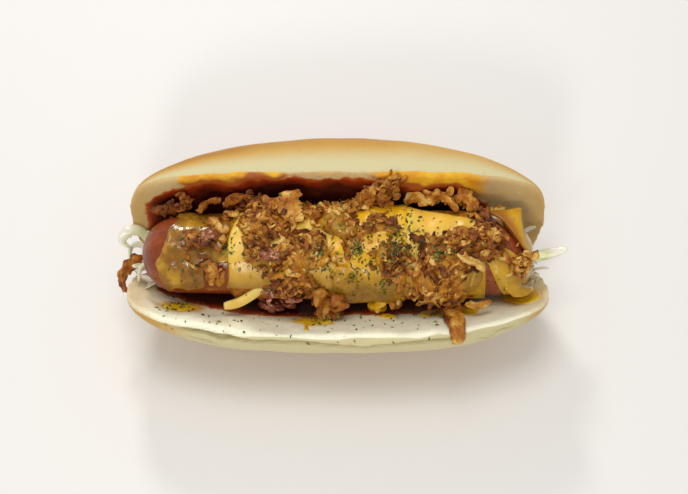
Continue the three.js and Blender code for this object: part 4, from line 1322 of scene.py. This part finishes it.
SOAKED = [
    # middle along X, middle angle, half length along X, half angle, how far the sauce rises there
    (-3, -14, 15, 40, 1.5), (-8, 40, 15, 24, 1.2), (-26, 34, 11, 24, 0.9), (13.5, 18, 5, 20, 2.2),
    (26, 68, 12, 26, 1.2), (40, 66, 8, 26, 0.5), (40, 34, 9, 22, 0.5), (45, 60, 6, 30, 0.9),
    (-33, -6, 6, 30, 0.3),
]


def binding_top(x, angle):
    """The sheet's top, from the map and the soaked places, with cheese poured over the onions in two spots at
    the right, and never past the far cut face. Also how soaked it is there."""
    degrees = np.degrees(angle)
    level = np.full(np.broadcast(x, angle).shape, -0.5)
    for x0, angle0, x_size, angle_size, rise in SOAKED:
        level = np.maximum(level, mix(-0.5, rise, spot(x, degrees, x0, angle0, x_size, angle_size) ** 0.5))
    place = round_sausage(x, angle, HEAP_RADIUS)
    level = level + 0.9 * lumps(place, 5.0, 61) + 0.5 * lumps(place, 2.2, 62)
    lifted = smooth_step(0.4, 1.3, on_map(RAISED, x, angle))
    top = on_map(SMOOTH_HEIGHTS, x, angle) + mix(-2.2, level - 0.2, lifted)
    poured = np.maximum(spot(x, degrees, 49.2, 57, 4.6, 28), 0.7 * spot(x, degrees, 42, 92, 9, 16))
    poured = smooth_step(0.0, 0.5, poured + 0.15 * lumps(place, 4, 64))
    bed = bed_radius(x, angle)
    top = mix(np.maximum(top, bed - 1.2), bed + 1.1 + 0.3 * lumps(place, 4, 65), poured)
    level = np.maximum(level, 2 * poured)
    return np.minimum(top, room_to_far_face(x, angle) - 0.2), level


SMOOTH_HEIGHTS = smoothed(heights, 1.6)
RAISED = smoothed(heights - bed_radius(map_x, map_round / HEAP_RADIUS), 1.6)


print("onion stands", round(float(RAISED.max()), 1), "mm above the bed at most, once smoothed")

# %% The binding as a mesh, and its finish
def binding():
    """The sheet from the left end of the heap to its right end, closed under the slices' outer skin."""
    t = np.linspace(0, 1, 260)[:, None]
    loop = np.linspace(0, 2 * np.pi, 320, endpoint=False)[None]
    s = 0.5 - 0.5 * np.cos(loop)
    x = mix(-56, 66, t)
    angle = np.radians(mix(-70, 108, s))
    top, level = binding_top(x, angle)
    bed = bed_radius(x, angle) - 1.6
    edge = (1 - np.abs(2 * s - 1) ** 10) ** 0.5 * (1 - np.abs(2 * t - 1) ** 16) ** 0.5
    radius = np.where(np.sin(loop) > 0, mix(bed - 0.3, np.maximum(top, bed - 0.2), edge), bed - 0.4)
    sheet = tubes("binding", round_sausage(x, angle, radius))
    keep_tones(sheet, (0.35 + 0.5 * level)[None])
    return sheet


def binding_finish():
    """Cheese and onion crumb mixed: yellow and glossy where it is soaked, brown and rough where it is dry."""
    mixed = Finish("onion in cheese", Roughness=0.3, Subsurface_Weight=0.3, Subsurface_Scale=0.003)
    mixed.surface.inputs["Subsurface Radius"].default_value = (1.0, 0.6, 0.12)
    mixed.surface.inputs["Coat Weight"].default_value = 0.08
    mixed.surface.inputs["Specular IOR Level"].default_value = 0.3
    mixed.surface.inputs["Coat Roughness"].default_value = 0.15
    fine = mixed.noise(1.4, 4, 0.65)
    crumb = mixed.shades(
        fine, (0.3, paint(100, 50, 16)), (0.5, paint(148, 85, 27)), (0.68, paint(190, 130, 50)),
    )
    cheese = mixed.shades(mixed.noise(3.5, 5, 0.6), (0.35, paint(158, 85, 14)), (0.66, paint(218, 156, 26)))
    wet = mixed.rise(mixed.marked("tone") + (mixed.noise(4, 4, 0.6) - 0.5) * 0.9, 0.25, 0.5)
    relief = fine * 0.8 + mixed.noise(3, 3) * 0.4
    colour = mixed.blend(wet, crumb, cheese)
    poured = mixed.rise(mixed.marked("tone"), 0.95, 1.2)
    clear = mixed.shades(fine, (0.3, paint(152, 106, 23)), (0.7, paint(184, 140, 40)))
    colour = mixed.blend(poured, colour, clear)
    return mixed.set(Base_Color=colour, Roughness=0.55 - wet * 0.2, Normal=mixed.bump(relief, 0.5, 0.8))


serve(binding(), binding_finish(), "onion", "fried_onions")

# %% [markdown]
# Some pieces stand out, and chance wouldn't put them there, so each is placed one by one: the chip that
# stands on end, the battered clump that leans on the far lip, the curls beside it, the clump that has slid
# onto the near face, the strip that hangs over the near lip, the curl outside the left end, and loose ones on
# the mustard and in the far trough.

# %% Large onion pieces
def byroll(x, is_dome, from_hinge, height):
    """A point over one half's cut face or crust; a height below 0 is above the cut."""
    return opened(np.array(x / HALF_LENGTH), is_dome, from_hinge, height)


def bysausage(x, degrees, radius):
    """A point round the sausage, its angle in degrees."""
    return round_sausage(np.array(float(x)), math.radians(degrees), radius)


R = HEAP_RADIUS
print("the standing chip's top:", bysausage(-17.6, -41, R + 7.5).round(1), "mm")

# %% Where the large pieces lie
LARGE_ONIONS = {
    # knots, width, thickness, roll, twist, tone
    "standing chip": ([
        bysausage(-17, -14, R + 0.5), bysausage(-17.2, -28, R + 3.6), bysausage(-17.6, -41, R + 7.5),
    ],
                      8.4, 1.6, 0.0, 0.2, 0.78),
    "leaning 1": ([bysausage(9, -40, R + 1), bysausage(13, -43, R + 7), bysausage(18, -43, R + 11.5),
                   bysausage(22, -43, R + 14)],
                  6.5, 1.6, 0.3, 0.8, 0.86),
    "leaning 2": ([bysausage(15, -42, R + 2), bysausage(19, -44, R + 8), bysausage(25, -44, R + 12.8)],
                  4.6, 1.5, -0.4, 1.0, 0.70),
    "leaning 3": ([bysausage(8, -48, R + 1), bysausage(9, -46, R + 5), bysausage(14, -47, R + 8)],
                  5.5, 1.6, 0.8, -0.7, 0.70),
    "leaning 4": ([bysausage(20, -46, R + 1), bysausage(17, -44, R + 4), bysausage(12, -44, R + 7)],
                  4.0, 1.5, 0.5, 1.2, 0.95),
    "curl 1": ([bysausage(25, -56, R + 1.4), bysausage(28, -52, R + 4.5), bysausage(31, -50, R + 4),
                bysausage(32, -48, R + 1.5)],
               5.0, 2.2, 0.2, 0.6, 0.92),
    "curl 2": ([bysausage(34.5, -50, R + 2), bysausage(37, -49, R + 5.5), bysausage(41, -44, R + 4.5),
                bysausage(44, -33, R + 2)],
               5.2, 2.4, 0.4, 0.7, 0.85),
    "curl 3": ([
        bysausage(44, -50, R + 2.5), bysausage(47, -48, R + 5.5), bysausage(50, -42, R + 3.5),
        bysausage(51, -32, R + 1.2),
    ],
               5.6, 2.4, 0.1, 1.0, 0.75),
    "far left 1": ([bysausage(-43, -46, R + 0.5), bysausage(-38, -46, R + 4), bysausage(-32, -50, R + 4.5)],
                   5.5, 1.5, 0.4, 0.8, 0.62),
    "far left 2": ([bysausage(-33, -34, R + 1.2), bysausage(-28, -38, R + 3.4), bysausage(-23, -36, R + 3)],
                   6.5, 1.6, 0.1, 0.5, 0.58),
    "far left 3": ([bysausage(-52, -40, 17.5), bysausage(-49, -48, 20.5), bysausage(-44, -46, 21)],
                   3.8, 1.4, 0.4, 1.2, 0.5),
    "trough chip": ([byroll(-69, True, 34, -1.8), byroll(-64, True, 37, -2.6), byroll(-57, True, 35, -2.2)],
                    6.5, 1.6, 1.3, 0.3, 0.38),
    "trough stick": ([
        byroll(-58.5, True, 37, -1.8), byroll(-58, True, 42, -2.6), byroll(-57.4, True, 46.5, -2.2),
    ],
                     3.4, 1.6, 0.2, 0.5, 0.30),
    "mustard curl": ([
        bysausage(-55, -4, 17), bysausage(-51, 16, 18.2), bysausage(-46, 14, 18.6), bysausage(-43, 22, 18.3),
    ],
                     3.6, 1.4, 0.3, 1.3, 0.35),
    "mustard chip": ([bysausage(-49, 36, 17.2), bysausage(-46.5, 46, 18.4), bysausage(-47, 60, 17.3)],
                     5.0, 1.4, 0.2, 0.5, 0.72),
    "pale strip": ([bysausage(43.5, 24, R + 2.4), bysausage(48.5, 31, R + 3.4), bysausage(53.2, 40, R + 2.4)],
                   3.8, 1.8, 0.2, 0.4, 1.05),
    "near stick": ([bysausage(47, 86, R + 1.8), bysausage(51, 84, R + 3), bysausage(56, 80, R + 1.6)],
                   2.6, 2.0, 0.3, 0.7, 0.86),
    "slid 1": ([
        bysausage(-7, 66, R + 1.2), bysausage(-6, 90, R + 1.8), bysausage(-5, 108, R + 2),
        byroll(-4.5, False, 40, -2),
    ],
               7.0, 2.2, 0.1, 0.4, 0.62),
    "slid 2": ([
        bysausage(1, 74, R + 1.3), bysausage(0, 94, R + 2), byroll(-1, False, 37, -2.2),
        byroll(-1, False, 43.5, -1.6),
    ],
               6.0, 2.0, -0.2, 0.4, 0.48),
}


print("large pieces:", len(LARGE_ONIONS))

# %% Large pieces and clumps as meshes
def large_piece(knots, width, thickness, roll, twist, ragged, cup):
    """Rings of one large piece, ragged along its edges, with the same rows and columns for all of them."""
    return strip_rings(smooth_knots(knots), width, thickness, roll, twist, 40, 26, 0.35, ragged, 5, cup)


def smooth_knots(knots):
    """The knots with a little unevenness between them, so that no piece is a plain arc."""
    places = along_curve(np.array(knots, float)[None], 9)
    uneven = np.stack([lumps(places + shift, 4, 74) for shift in (0, 40, 80)], axis=-1)
    return places + 0.7 * uneven


def large_set(name, pieces, ragged=0.17, cup=0.22):
    """Several large pieces as one mesh, toned by piece, darker along the edges and in blotches."""
    rings = np.concatenate([large_piece(*values[:-1], ragged, cup) for values in pieces.values()])
    piece = tubes(name, rings)
    edge = np.abs(np.cos(np.linspace(0, 2 * np.pi, rings.shape[2], endpoint=False)))[None, None] ** 4
    tone = np.array([values[-1] for values in pieces.values()])[:, None, None]
    keep_tones(piece, tone - 0.16 * edge + 0.36 * lumps(rings, 2.6, 71))
    return piece


def stuck_pieces(name, places, count, spread, tone):
    """Small strips that stick to a clump: their middles lie near points of it, their directions are
    random."""
    at = np.array(places)[random.integers(0, len(places), count)] + random.normal(0, spread, (count, 3))
    ahead = unit(random.normal(0, 1, (count, 3)) + np.array([0.3, 0.2, 0.4]))
    side = unit(np.cross(ahead, random.normal(0, 1, (count, 3))))
    length = random.uniform(2.5, 6.5, count)[:, None]
    knots = np.stack([
        at - 0.5 * ahead * length, at - 0.15 * ahead * length + 0.3 * side * length,
        at + 0.2 * ahead * length, at + 0.5 * ahead * length + 0.25 * side * length,
    ], axis=1)
    rings = strip_rings(
        knots, random.uniform(1.2, 3.2, count), random.uniform(0.4, 0.8, count), random.normal(0, 1, count),
        random.normal(0, 1.5, count), 11, 10, end=0.5, ragged=0.2, seed=8, cup=random.uniform(0, 0.4, count),
    )
    piece = tubes(name, rings)
    keep_tones(piece, tone + 0.3 * lumps(rings, 2.4, 75))
    return piece


chip = large_piece(*LARGE_ONIONS["standing chip"][:-1], 0.17, 0.22)
print("the standing chip has", chip.shape[1], "rows of", chip.shape[2], "points")

# %% The clumps, the large pieces, the strip over the lip and the curl outside
serve(stuck_pieces("clump_by_the_lip", [
    bysausage(10, -42, R + 3), bysausage(13, -43, R + 6), bysausage(16, -43, R + 9.5),
    bysausage(20, -43, R + 11.4),
    bysausage(9, -46, R + 4), bysausage(18, -43, R + 7),
], 34, 1.5, 0.62), ONION, "onion")
serve(stuck_pieces("clump_in_the_trough", [
    byroll(-66, True, 37, -3), byroll(-62, True, 38, -3), byroll(-58, True, 42, -2.5),
    byroll(-38, True, 46, -3),
    byroll(-33, True, 46, -4), byroll(-29, True, 44, -4),
], 30, 1.3, 0.28), ONION, "onion")
serve(stuck_pieces("clump_at_the_right", [
    bysausage(47, -50, R + 3.5), bysausage(42, -48, R + 4), bysausage(36, -50, R + 4),
    bysausage(50, -36, R + 1.5),
], 16, 1.1, 0.66), ONION, "onion")

TAIL = {
    "tail": ([
        byroll(40.6, False, 35, -2.6), byroll(42.0, False, 43, -2.8), byroll(43.4, False, 50.5, -2.6),
        byroll(44.3, False, 55.2, 0.4), byroll(44.8, False, 55.4, 4.6),
    ], 5.8, 3.4, 0.0, 0.3, 0.72),
    "tail's darker edge": ([
        byroll(38.6, False, 36, -2.4), byroll(39.6, False, 43, -2.6), byroll(41.0, False, 50, -2.4),
        byroll(42.3, False, 54.6, 0.2), byroll(43.2, False, 55.4, 3.6),
    ], 3.0, 2.6, 0.5, 0.8, 0.4),
}
OUTSIDE_CURL = {"outside curl": (
    [np.array(p) for p in [
        (-74.6, -4.5, 30.0), (-79.0, -6.0, 31.0), (-82.0, -9.5, 28.0), (-81.8, -13.5, 21.5),
    ]],
    5.2, 2.8, 0.6, 0.9, 0.5,
)}
serve(large_set("onion_large", LARGE_ONIONS), ONION, "onion")
serve(large_set("tail_strip", TAIL, 0.13, 0.04), ONION, "onion", "onion_tail")
serve(large_set("outside_curl", OUTSIDE_CURL, 0.12, 0.1), ONION, "onion", "onion_curl")

# %% [markdown]
# Bacon bits are small uneven scraps of fried meat with streaks of fat: reddish brown and oily. They are short
# thick strips with very ragged edges, and one noise with twisted clouds gives the streaks.

# %% Bacon
def bacon_finish():
    """Fried bacon: dark red meat, streaks of paler fat, an oily coat."""
    bacon = Finish("bacon", Roughness=0.4, Subsurface_Weight=0.2, Subsurface_Scale=0.002)
    bacon.surface.inputs["Subsurface Radius"].default_value = (1.0, 0.35, 0.2)
    bacon.surface.inputs["Coat Weight"].default_value = 0.2
    bacon.surface.inputs["Coat Roughness"].default_value = 0.12
    tone = bacon.noise(2.0, 4, 0.6, 1.6)
    colour = bacon.shades(
        tone, (0.34, paint(92, 34, 18)), (0.47, paint(138, 64, 38)), (0.56, paint(180, 114, 76)),
        (0.68, paint(216, 176, 130)),
    )
    return bacon.set(Base_Color=colour, Normal=bacon.bump(bacon.noise(1.0, 4), 0.6, 0.9))


BACON = bacon_finish()
BACON_SCRAP = {"scrap": (
    [byroll(-25.5, False, 23, -2.4), byroll(-25, False, 30, -2.2), byroll(-26, False, 37, -2)],
    8.6, 3.0, 0, 0.2, 0.5,
)}
BACON_BITS = {
    "by the curl": ([
        byroll(-17.5, False, 29, -2), byroll(-19, False, 33, -2.2), byroll(-18.5, False, 36, -1.8),
    ],
                    5.5, 2.8, 0.2, 0.3, 0.5),
    "near row 1": ([bysausage(-18, 72, R + 0.8), bysausage(-16, 78, R + 1.8), bysausage(-15, 84, R + 1)],
                   5.0, 2.6, 0.3, 0.4, 0.5),
    "near row 2": ([bysausage(-26, 64, R + 0.5), bysausage(-25, 70, R + 1.6), bysausage(-25, 77, R + 0.8)],
                   4.6, 2.4, 0.1, 0.4, 0.5),
    "left slice": ([bysausage(-27, 22, R + 0.8), bysausage(-24, 25, R + 2), bysausage(-21, 30, R + 1)],
                   5.4, 2.6, 0.4, 0.2, 0.5),
    "on the mustard": ([bysausage(-50, 6, 17), bysausage(-47, 4, 18.2), bysausage(-44, 7, 17.8)],
                       4.2, 2.2, 0.1, 0.5, 0.5),
}
serve(large_set("bacon_scrap", BACON_SCRAP, 0.26, 0.1), BACON, "bacon", "bacon_bit")
serve(large_set("bacon_bits", BACON_BITS, 0.3, 0.1), BACON, "bacon")

# %% [markdown]
# The cabbage is cut in fine shreds and packed under the sausage. It shows only at the ends and through gaps,
# so a rough bed stands for its middle, and curved ribbons of different lengths make the ends. Only those that
# show best are placed one by one.

# %% Cabbage
def cabbage_bed():
    """The bed: rings of the wedge between the cut faces up to the sausage, rounded off at the ends, with
    lumps."""
    share = -0.92 * np.cos(np.linspace(0, np.pi, 90))
    end = np.maximum(0, (np.abs(share) - 0.62) / 0.3)
    size = np.sqrt(np.maximum(0.05, 1 - end ** 2.4))[:, None, None]
    lift = nose_lift(share)

    def on_face(is_dome, z, inside=0.2):
        lean = np.radians(DOME_LEAN) if is_dome else base_lean(share)
        side = 1 if is_dome else -1
        return HINGE_SIDE + side * ((z - HINGE_HEIGHT - lift) * np.tan(lean) - inside)

    bottom = 13 + lift + 5 * end
    level = np.ones(len(share))
    corners = np.stack([np.stack(pair, axis=-1) for pair in [
        (on_face(False, bottom), bottom), (on_face(True, bottom), bottom), (on_face(True, 23), 23 * level),
        (on_face(True, 31), 31 * level), (on_face(True, 31) - 7, 34 * level),
        (SAUSAGE_SIDE * level, 30 * level),
        (on_face(False, 25) + 2, 25 * level), (on_face(False, 21), 21 * level),
    ]], axis=1)
    middle = np.array([SAUSAGE_SIDE + 3, 26])
    corners = middle + (corners - middle) * size
    t = np.linspace(0, 8, 96, endpoint=False)
    k = t.astype(int)
    yz = corners[:, k] + (corners[:, (k + 1) % 8] - corners[:, k]) * (t - k)[None, :, None]
    x = np.broadcast_to((share * HALF_LENGTH)[:, None], yz.shape[:2])
    rings = np.concatenate([x[..., None], yz], axis=-1)
    centre = rings.mean(axis=1, keepdims=True)
    rough = 0.7 * lumps(rings, 3.5, 81) + 0.5 * lumps(rings, 1.7, 82)
    return tubes("cabbage_bed", rings + unit(rings - centre) * (rough - 0.9)[..., None])


bed = cabbage_bed()
print("the bed is", round(float(np.ptp(points_of(bed)[:, 0])), 1), "mm long")

# %% Shreds at both ends
def short_shreds(count=150):
    """Shreds that come out of both ends of the bed, fanned out over the width of the fold."""
    end = np.where(np.arange(count) % 2, 1.0, -1.0)
    y = random.uniform(-15, 3, count)
    z = random.uniform(23, 33, count) + 0.25 * np.abs(y + 6)
    reach = random.uniform(-7, 7, count)
    start = np.stack([end * 56, SAUSAGE_SIDE + 0.55 * (y - SAUSAGE_SIDE), 0 * y + 23], axis=-1)
    inner = np.stack([end * (64 + 0.4 * reach), y, z - 1], axis=-1)
    outer_y, outer_z = y + random.normal(0, 1.4, count), z + random.normal(0, 1.6, count)
    outer = np.stack([end * (69 + 0.8 * reach), outer_y, outer_z], axis=-1)
    tip = outer + np.stack([
        end * random.uniform(0.5, 3.5, count), random.normal(0, 2.0, count), random.normal(-0.5, 2.0, count),
    ], axis=-1)
    knots = np.stack([start, inner, outer, tip], axis=1)
    return strip_rings(
        knots, random.uniform(1.2, 2.6, count), random.uniform(0.5, 0.9, count),
        random.uniform(-1.5, 1.5, count), random.normal(0, 1.2, count), 12, 8, end=0.5, ragged=0.05, seed=9,
    )


def long_shreds():
    """The shreds that show best: three curls behind the left end, and one that reaches out at the right."""
    knots = np.array([
        [(-60, -2, 24), (-70, 2, 30), (-76, 4, 38), (-80.5, 3, 39.6), (-82, 0, 36.5), (-79, -2, 34.5)],
        [(-60, -3, 24), (-70, -1, 28), (-76, 0.5, 33), (-79, -1, 34), (-79.5, -5, 31), (-77.5, -8.5, 27)],
        [(-60, 1, 24), (-68, 4, 28), (-74, 5.5, 31), (-78, 5.5, 32), (-80.5, 4.5, 34.5), (-79, 2.5, 36.5)],
        [(60, -6, 24), (70, -4, 27.5), (76, -3, 30), (80, -2.4, 30.8), (84, -1.6, 31.6), (88.0, -0.5, 32.5)],
        [(60, -8, 24), (70, -8, 27), (75, -9, 31), (77, -9.6, 33), (78.5, -10.4, 35), (79.5, -11, 36.5)],
    ], float)
    widths = np.array([3.8, 2.6, 3.4, 4.4, 2.6])
    rolls = np.array([0, 0.8, 1.7, -0.5, 0.6])
    return strip_rings(knots, widths, 0.9, rolls, 0.7, 30, 12, end=0.5, ragged=0.04, seed=4)


def cabbage_finish():
    """Raw cabbage: wet, pale and slightly clear, from white ribs to pale green."""
    leaf = Finish("cabbage", Roughness=0.3, Subsurface_Weight=0.5, Subsurface_Scale=0.004)
    leaf.surface.inputs["Subsurface Radius"].default_value = (0.8, 1.0, 0.5)
    leaf.surface.inputs["Coat Weight"].default_value = 0.3
    leaf.surface.inputs["Coat Roughness"].default_value = 0.15
    tone = leaf.noise(7, 3)
    colour = leaf.shades(
        tone, (0.35, paint(220, 222, 170)), (0.5, paint(232, 230, 204)), (0.7, paint(242, 238, 226)),
    )
    return leaf.set(Base_Color=colour, Normal=leaf.bump(leaf.noise(1.0, 3), 0.15, 0.5))


CABBAGE = cabbage_finish()
serve(bed, CABBAGE, "cabbage", "cabbage")
serve(tubes("cabbage_short", short_shreds()), CABBAGE, "cabbage")
serve(tubes("cabbage_long", long_shreds()), CABBAGE, "cabbage")

# %% [markdown]
# Mustard has dripped on the near cut face and pooled at its right end, where a thick tongue of it comes down
# from the sausage. As with the coat on the sausage, the film is a closed sheet just under the face that
# swells out of it wherever mustard lies. The tongue is one wide strip from the sausage to the pool.

# %% Mustard on the near cut face
def mustard_spots(x, from_hinge):
    """Where mustard lies on the near cut face: two flat patches, a run from the second, a pool at the right
    end, and a streak and a drop between them."""
    flat = np.stack(np.broadcast_arrays(x, from_hinge, 0.0), axis=-1)
    shift = 1.6 * lumps(flat, 5, 91) + 0.7 * lumps(flat, 2.4, 92)
    x, from_hinge = x + shift, from_hinge - 0.7 * shift
    return np.maximum.reduce([
        spot(x, from_hinge, -59.5, 36.5, 6.4, 3.6), spot(x, from_hinge, -9, 43.5, 8, 4.0),
        run(x, from_hinge, -11, 45, -11.5, 51, 1.7), run(x, from_hinge, 68, 21, 70.5, 32, 6.6),
        run(x, from_hinge, 35, 38, 50, 37, 5.0), spot(x, from_hinge, 18, 39, 3.0, 3.0),
    ])


def mustard_film():
    """The film's rows run along X and its columns round it, out over the face and back under it."""
    x = np.linspace(-72, 76, 300)[:, None]
    loop = np.linspace(0, 2 * np.pi, 200, endpoint=False)[None]
    share = x / HALF_LENGTH
    reach = HALF_DEPTH * taper(share, False)[0]
    lip = HALF_DEPTH - HINGE_DEPTH + reach - 3.4
    from_hinge = mix(np.minimum(15, lip - 4), lip, 0.5 - 0.5 * np.cos(loop))
    level = smooth_step(0.02, 0.4, mustard_spots(x, from_hinge))
    flat = np.stack(np.broadcast_arrays(x, from_hinge, 0.0), axis=-1)
    stands = level * (0.55 + 0.15 * lumps(flat, 3.5, 93)) - 1.6 * (1 - level)
    height = face_height(share, False, from_hinge) - np.where(np.sin(loop) > 0, stands, -2.2)
    return tubes("mustard_near", opened(share, False, from_hinge, height))


bridge = strip_rings(
    np.array([[
        round_sausage(64.5, math.radians(55), 11.8), round_sausage(67.2, math.radians(86), 12.9),
        opened(np.array(69.2 / HALF_LENGTH), False, 23, -1.3),
        opened(np.array(70.5 / HALF_LENGTH), False, 31, 0.2),
    ]]), 10.5, 2.2, 0.0, 0.1, 40, 30, 0.4, 0.05, 7,
)
serve(tubes("mustard_bridge", bridge), YELLOW_MUSTARD, "sausage")
# painted light: the mustard on the near cut face is a paler, brighter copy of the yellow mustard, to make up
# for the shade it lies in
BRIGHTENED_MUSTARD = mustard_finish("mustard painted brighter", (226, 168, 24), (242, 196, 34), (250, 212, 60))
serve(mustard_film(), BRIGHTENED_MUSTARD, "sausage")

# %% [markdown]
# Camera, floor and lights. The floor is a plain pale sheet. The pale world and a broad lamp overhead give the
# soft light of a bright room, and a small lamp on each side gives the wet foods their small highlights.

# %% Camera, floor and light
ELEVATION = math.radians(62)
DISTANCE = 0.6
LENS_FOR_FIELD = 36 / 0.2587
AIM = Vector((0.0023, -0.006, 0.0435))


def add_lamp(name, place, size, power, colour):
    """A square soft lamp that faces the hot dog."""
    lamp = bpy.data.objects.new(name, bpy.data.lights.new(name, "AREA"))
    lamp.data.size = size
    lamp.data.energy = power
    lamp.data.color = colour
    lamp.location = place
    lamp.rotation_mode = "QUATERNION"
    lamp.rotation_quaternion = (AIM - Vector(place)).to_track_quat("-Z", "Y")
    bpy.context.scene.collection.objects.link(lamp)


camera = bpy.data.objects.new("camera", bpy.data.cameras.new("camera"))
bpy.context.scene.collection.objects.link(camera)
towards_camera = Vector((0, -math.cos(ELEVATION), math.sin(ELEVATION)))
camera.location = AIM + towards_camera * DISTANCE
camera.rotation_mode = "QUATERNION"
camera.rotation_quaternion = (-towards_camera).to_track_quat("-Z", "Y")
camera.data.lens = LENS_FOR_FIELD * DISTANCE
camera.data.clip_start = 0.01
bpy.context.scene.camera = camera

add_lamp("lamp_over", (-0.05, 0.06, 0.9), 0.35, 2.4, (1.0, 0.98, 0.94))
add_lamp("lamp_far", (-0.15, 0.64, 0.56), 0.12, 1.9, (1.0, 0.97, 0.92))
add_lamp("lamp_near", (-0.12, -0.66, 0.5), 0.12, 1.5, (1.0, 0.97, 0.92))
world = bpy.data.worlds.new("bright room")
bpy.context.scene.world = world
world.use_nodes = True
world.node_tree.nodes["Background"].inputs["Color"].default_value = (1.0, 0.985, 0.96, 1)
world.node_tree.nodes["Background"].inputs["Strength"].default_value = 0.5
bpy.context.scene.view_settings.view_transform = "Standard"

floor_points = np.array([[-900.0, -900, 0], [900, -900, 0], [900, 900, 0], [-900, 900, 0]])
floor_mesh = bpy.data.meshes.new("floor")
floor_mesh.from_pydata((floor_points * METRES).tolist(), [], [(0, 1, 2, 3)])
floor = bpy.data.objects.new("floor", floor_mesh)
bpy.context.scene.collection.objects.link(floor)
floor.data.materials.append(Finish("pale floor", Roughness=0.6).set(Base_Color=paint(238, 237, 236)))
print("camera at", [round(v, 3) for v in camera.location])

# %% [markdown]
# Dried parsley is scattered last, so it lies on top of everything. A particle system would put as much of it
# underneath as on top. Each flake is dropped towards the food along the camera's line of sight instead, over
# a few round patches of the picture, and stays flat on what it meets there.

# %% Parsley
PICTURE_WIDTH, PICTURE_HEIGHT = 688, 494
SPRINKLED = [
    # middle right and down in the picture, spread right and down, flakes
    (368, 252, 22, 26, 110), (404, 238, 16, 14, 80), (332, 240, 26, 26, 60), (390, 205, 14, 8, 10),
    (242, 240, 12, 18, 34), (262, 272, 14, 10, 26), (305, 268, 20, 14, 34), (425, 222, 16, 7, 12),
    (455, 245, 22, 20, 40), (395, 250, 8, 16, 110), (438, 254, 4, 5, 70), (196, 240, 12, 8, 10),
    (190, 274, 14, 8, 22), (180, 307, 13, 4, 40), (314, 319, 10, 4, 36), (262, 318, 34, 4, 20),
    (385, 320, 30, 6, 26), (330, 334, 70, 6, 16), (440, 316, 8, 5, 12), (205, 218, 16, 6, 10),
    (485, 285, 12, 10, 10), (200, 322, 26, 6, 12), (319, 252, 3, 3, 26), (357, 250, 3.5, 4, 44),
    (352, 277, 5, 4, 44), (383, 289, 2.5, 4, 26), (328, 270, 3, 3, 16), (228, 250, 3, 4, 14),
]


def sight_line(right, down):
    """The ray from the camera through a place in the picture."""
    across = (right - PICTURE_WIDTH / 2) / PICTURE_WIDTH * camera.data.sensor_width
    up = -(down - PICTURE_HEIGHT / 2) / PICTURE_WIDTH * camera.data.sensor_width
    direction = Vector((across, up, -camera.data.lens))
    return camera.location.copy(), (camera.rotation_quaternion @ direction).normalized()


def flake_places():
    """Where flakes land and how the surface lies there, from a ray against every piece."""
    graph = bpy.context.evaluated_depsgraph_get()
    served = [piece for piece in bpy.context.scene.objects if piece.get("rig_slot") and not piece.hide_render]
    trees = [BVHTree.FromObject(piece, graph) for piece in served]
    places, normals = [], []
    for right, down, right_spread, down_spread, count in SPRINKLED:
        for _ in range(count):
            start, ray = sight_line(random.normal(right, right_spread), random.normal(down, down_spread))
            hits = [hit for hit in (tree.ray_cast(start, ray) for tree in trees) if hit[0] is not None]
            if hits:
                place, normal, _, _ = min(hits, key=lambda hit: hit[3])
                if normal.z > 0.1:
                    places.append(place / METRES)
                    normals.append(normal)
    return np.array(places), np.array(normals)


print("patches of parsley:", len(SPRINKLED), "with", sum(row[4] for row in SPRINKLED), "flakes")

# %% Flakes, their finish, and serving them
def parsley_flakes():
    """Thin bent flakes that lie on the surface, turned at random in it."""
    places, normals = flake_places()
    count = len(places)
    ahead = unit(np.cross(normals, random.normal(0, 1, (count, 3))))
    length = random.uniform(0.4, 0.85, count)[:, None] * random.uniform(1, 2.3, count)[:, None]
    lift = 0.18 + 0.25 * random.random(count)[:, None]
    knots = np.stack([
        places + normals * 0.12 - ahead * length / 2,
        places + normals * lift,
        places + normals * 0.2 + ahead * length / 2,
    ], axis=1)
    side = np.cross(ahead, np.array([0.0, 0.0, 1.0]))
    roll = np.arctan2(
        (np.cross(unit(side), normals) * ahead).sum(axis=-1), (unit(side) * normals).sum(axis=-1),
    )
    width = length[:, 0] * random.uniform(0.3, 0.7, count)
    rings = strip_rings(knots, width, 0.16, roll - math.pi / 2, 0.3, 5, 5, end=0.5, ragged=0.2, seed=6)
    piece = tubes("parsley", rings)
    keep_tones(piece, random.uniform(0, 1, count)[:, None, None] + np.zeros(rings.shape[:3]))
    return piece


def parsley_finish():
    """Dried leaf: dull, from olive to dark green."""
    leaf = Finish("dried parsley", Roughness=0.6)
    colour = leaf.shades(
        leaf.marked("tone"), (0.0, paint(54, 60, 14)), (0.6, paint(98, 106, 26)), (1.0, paint(156, 154, 66)),
    )
    return leaf.set(Base_Color=colour)


serve(parsley_flakes(), parsley_finish(), "cabbage")

# %% [markdown]
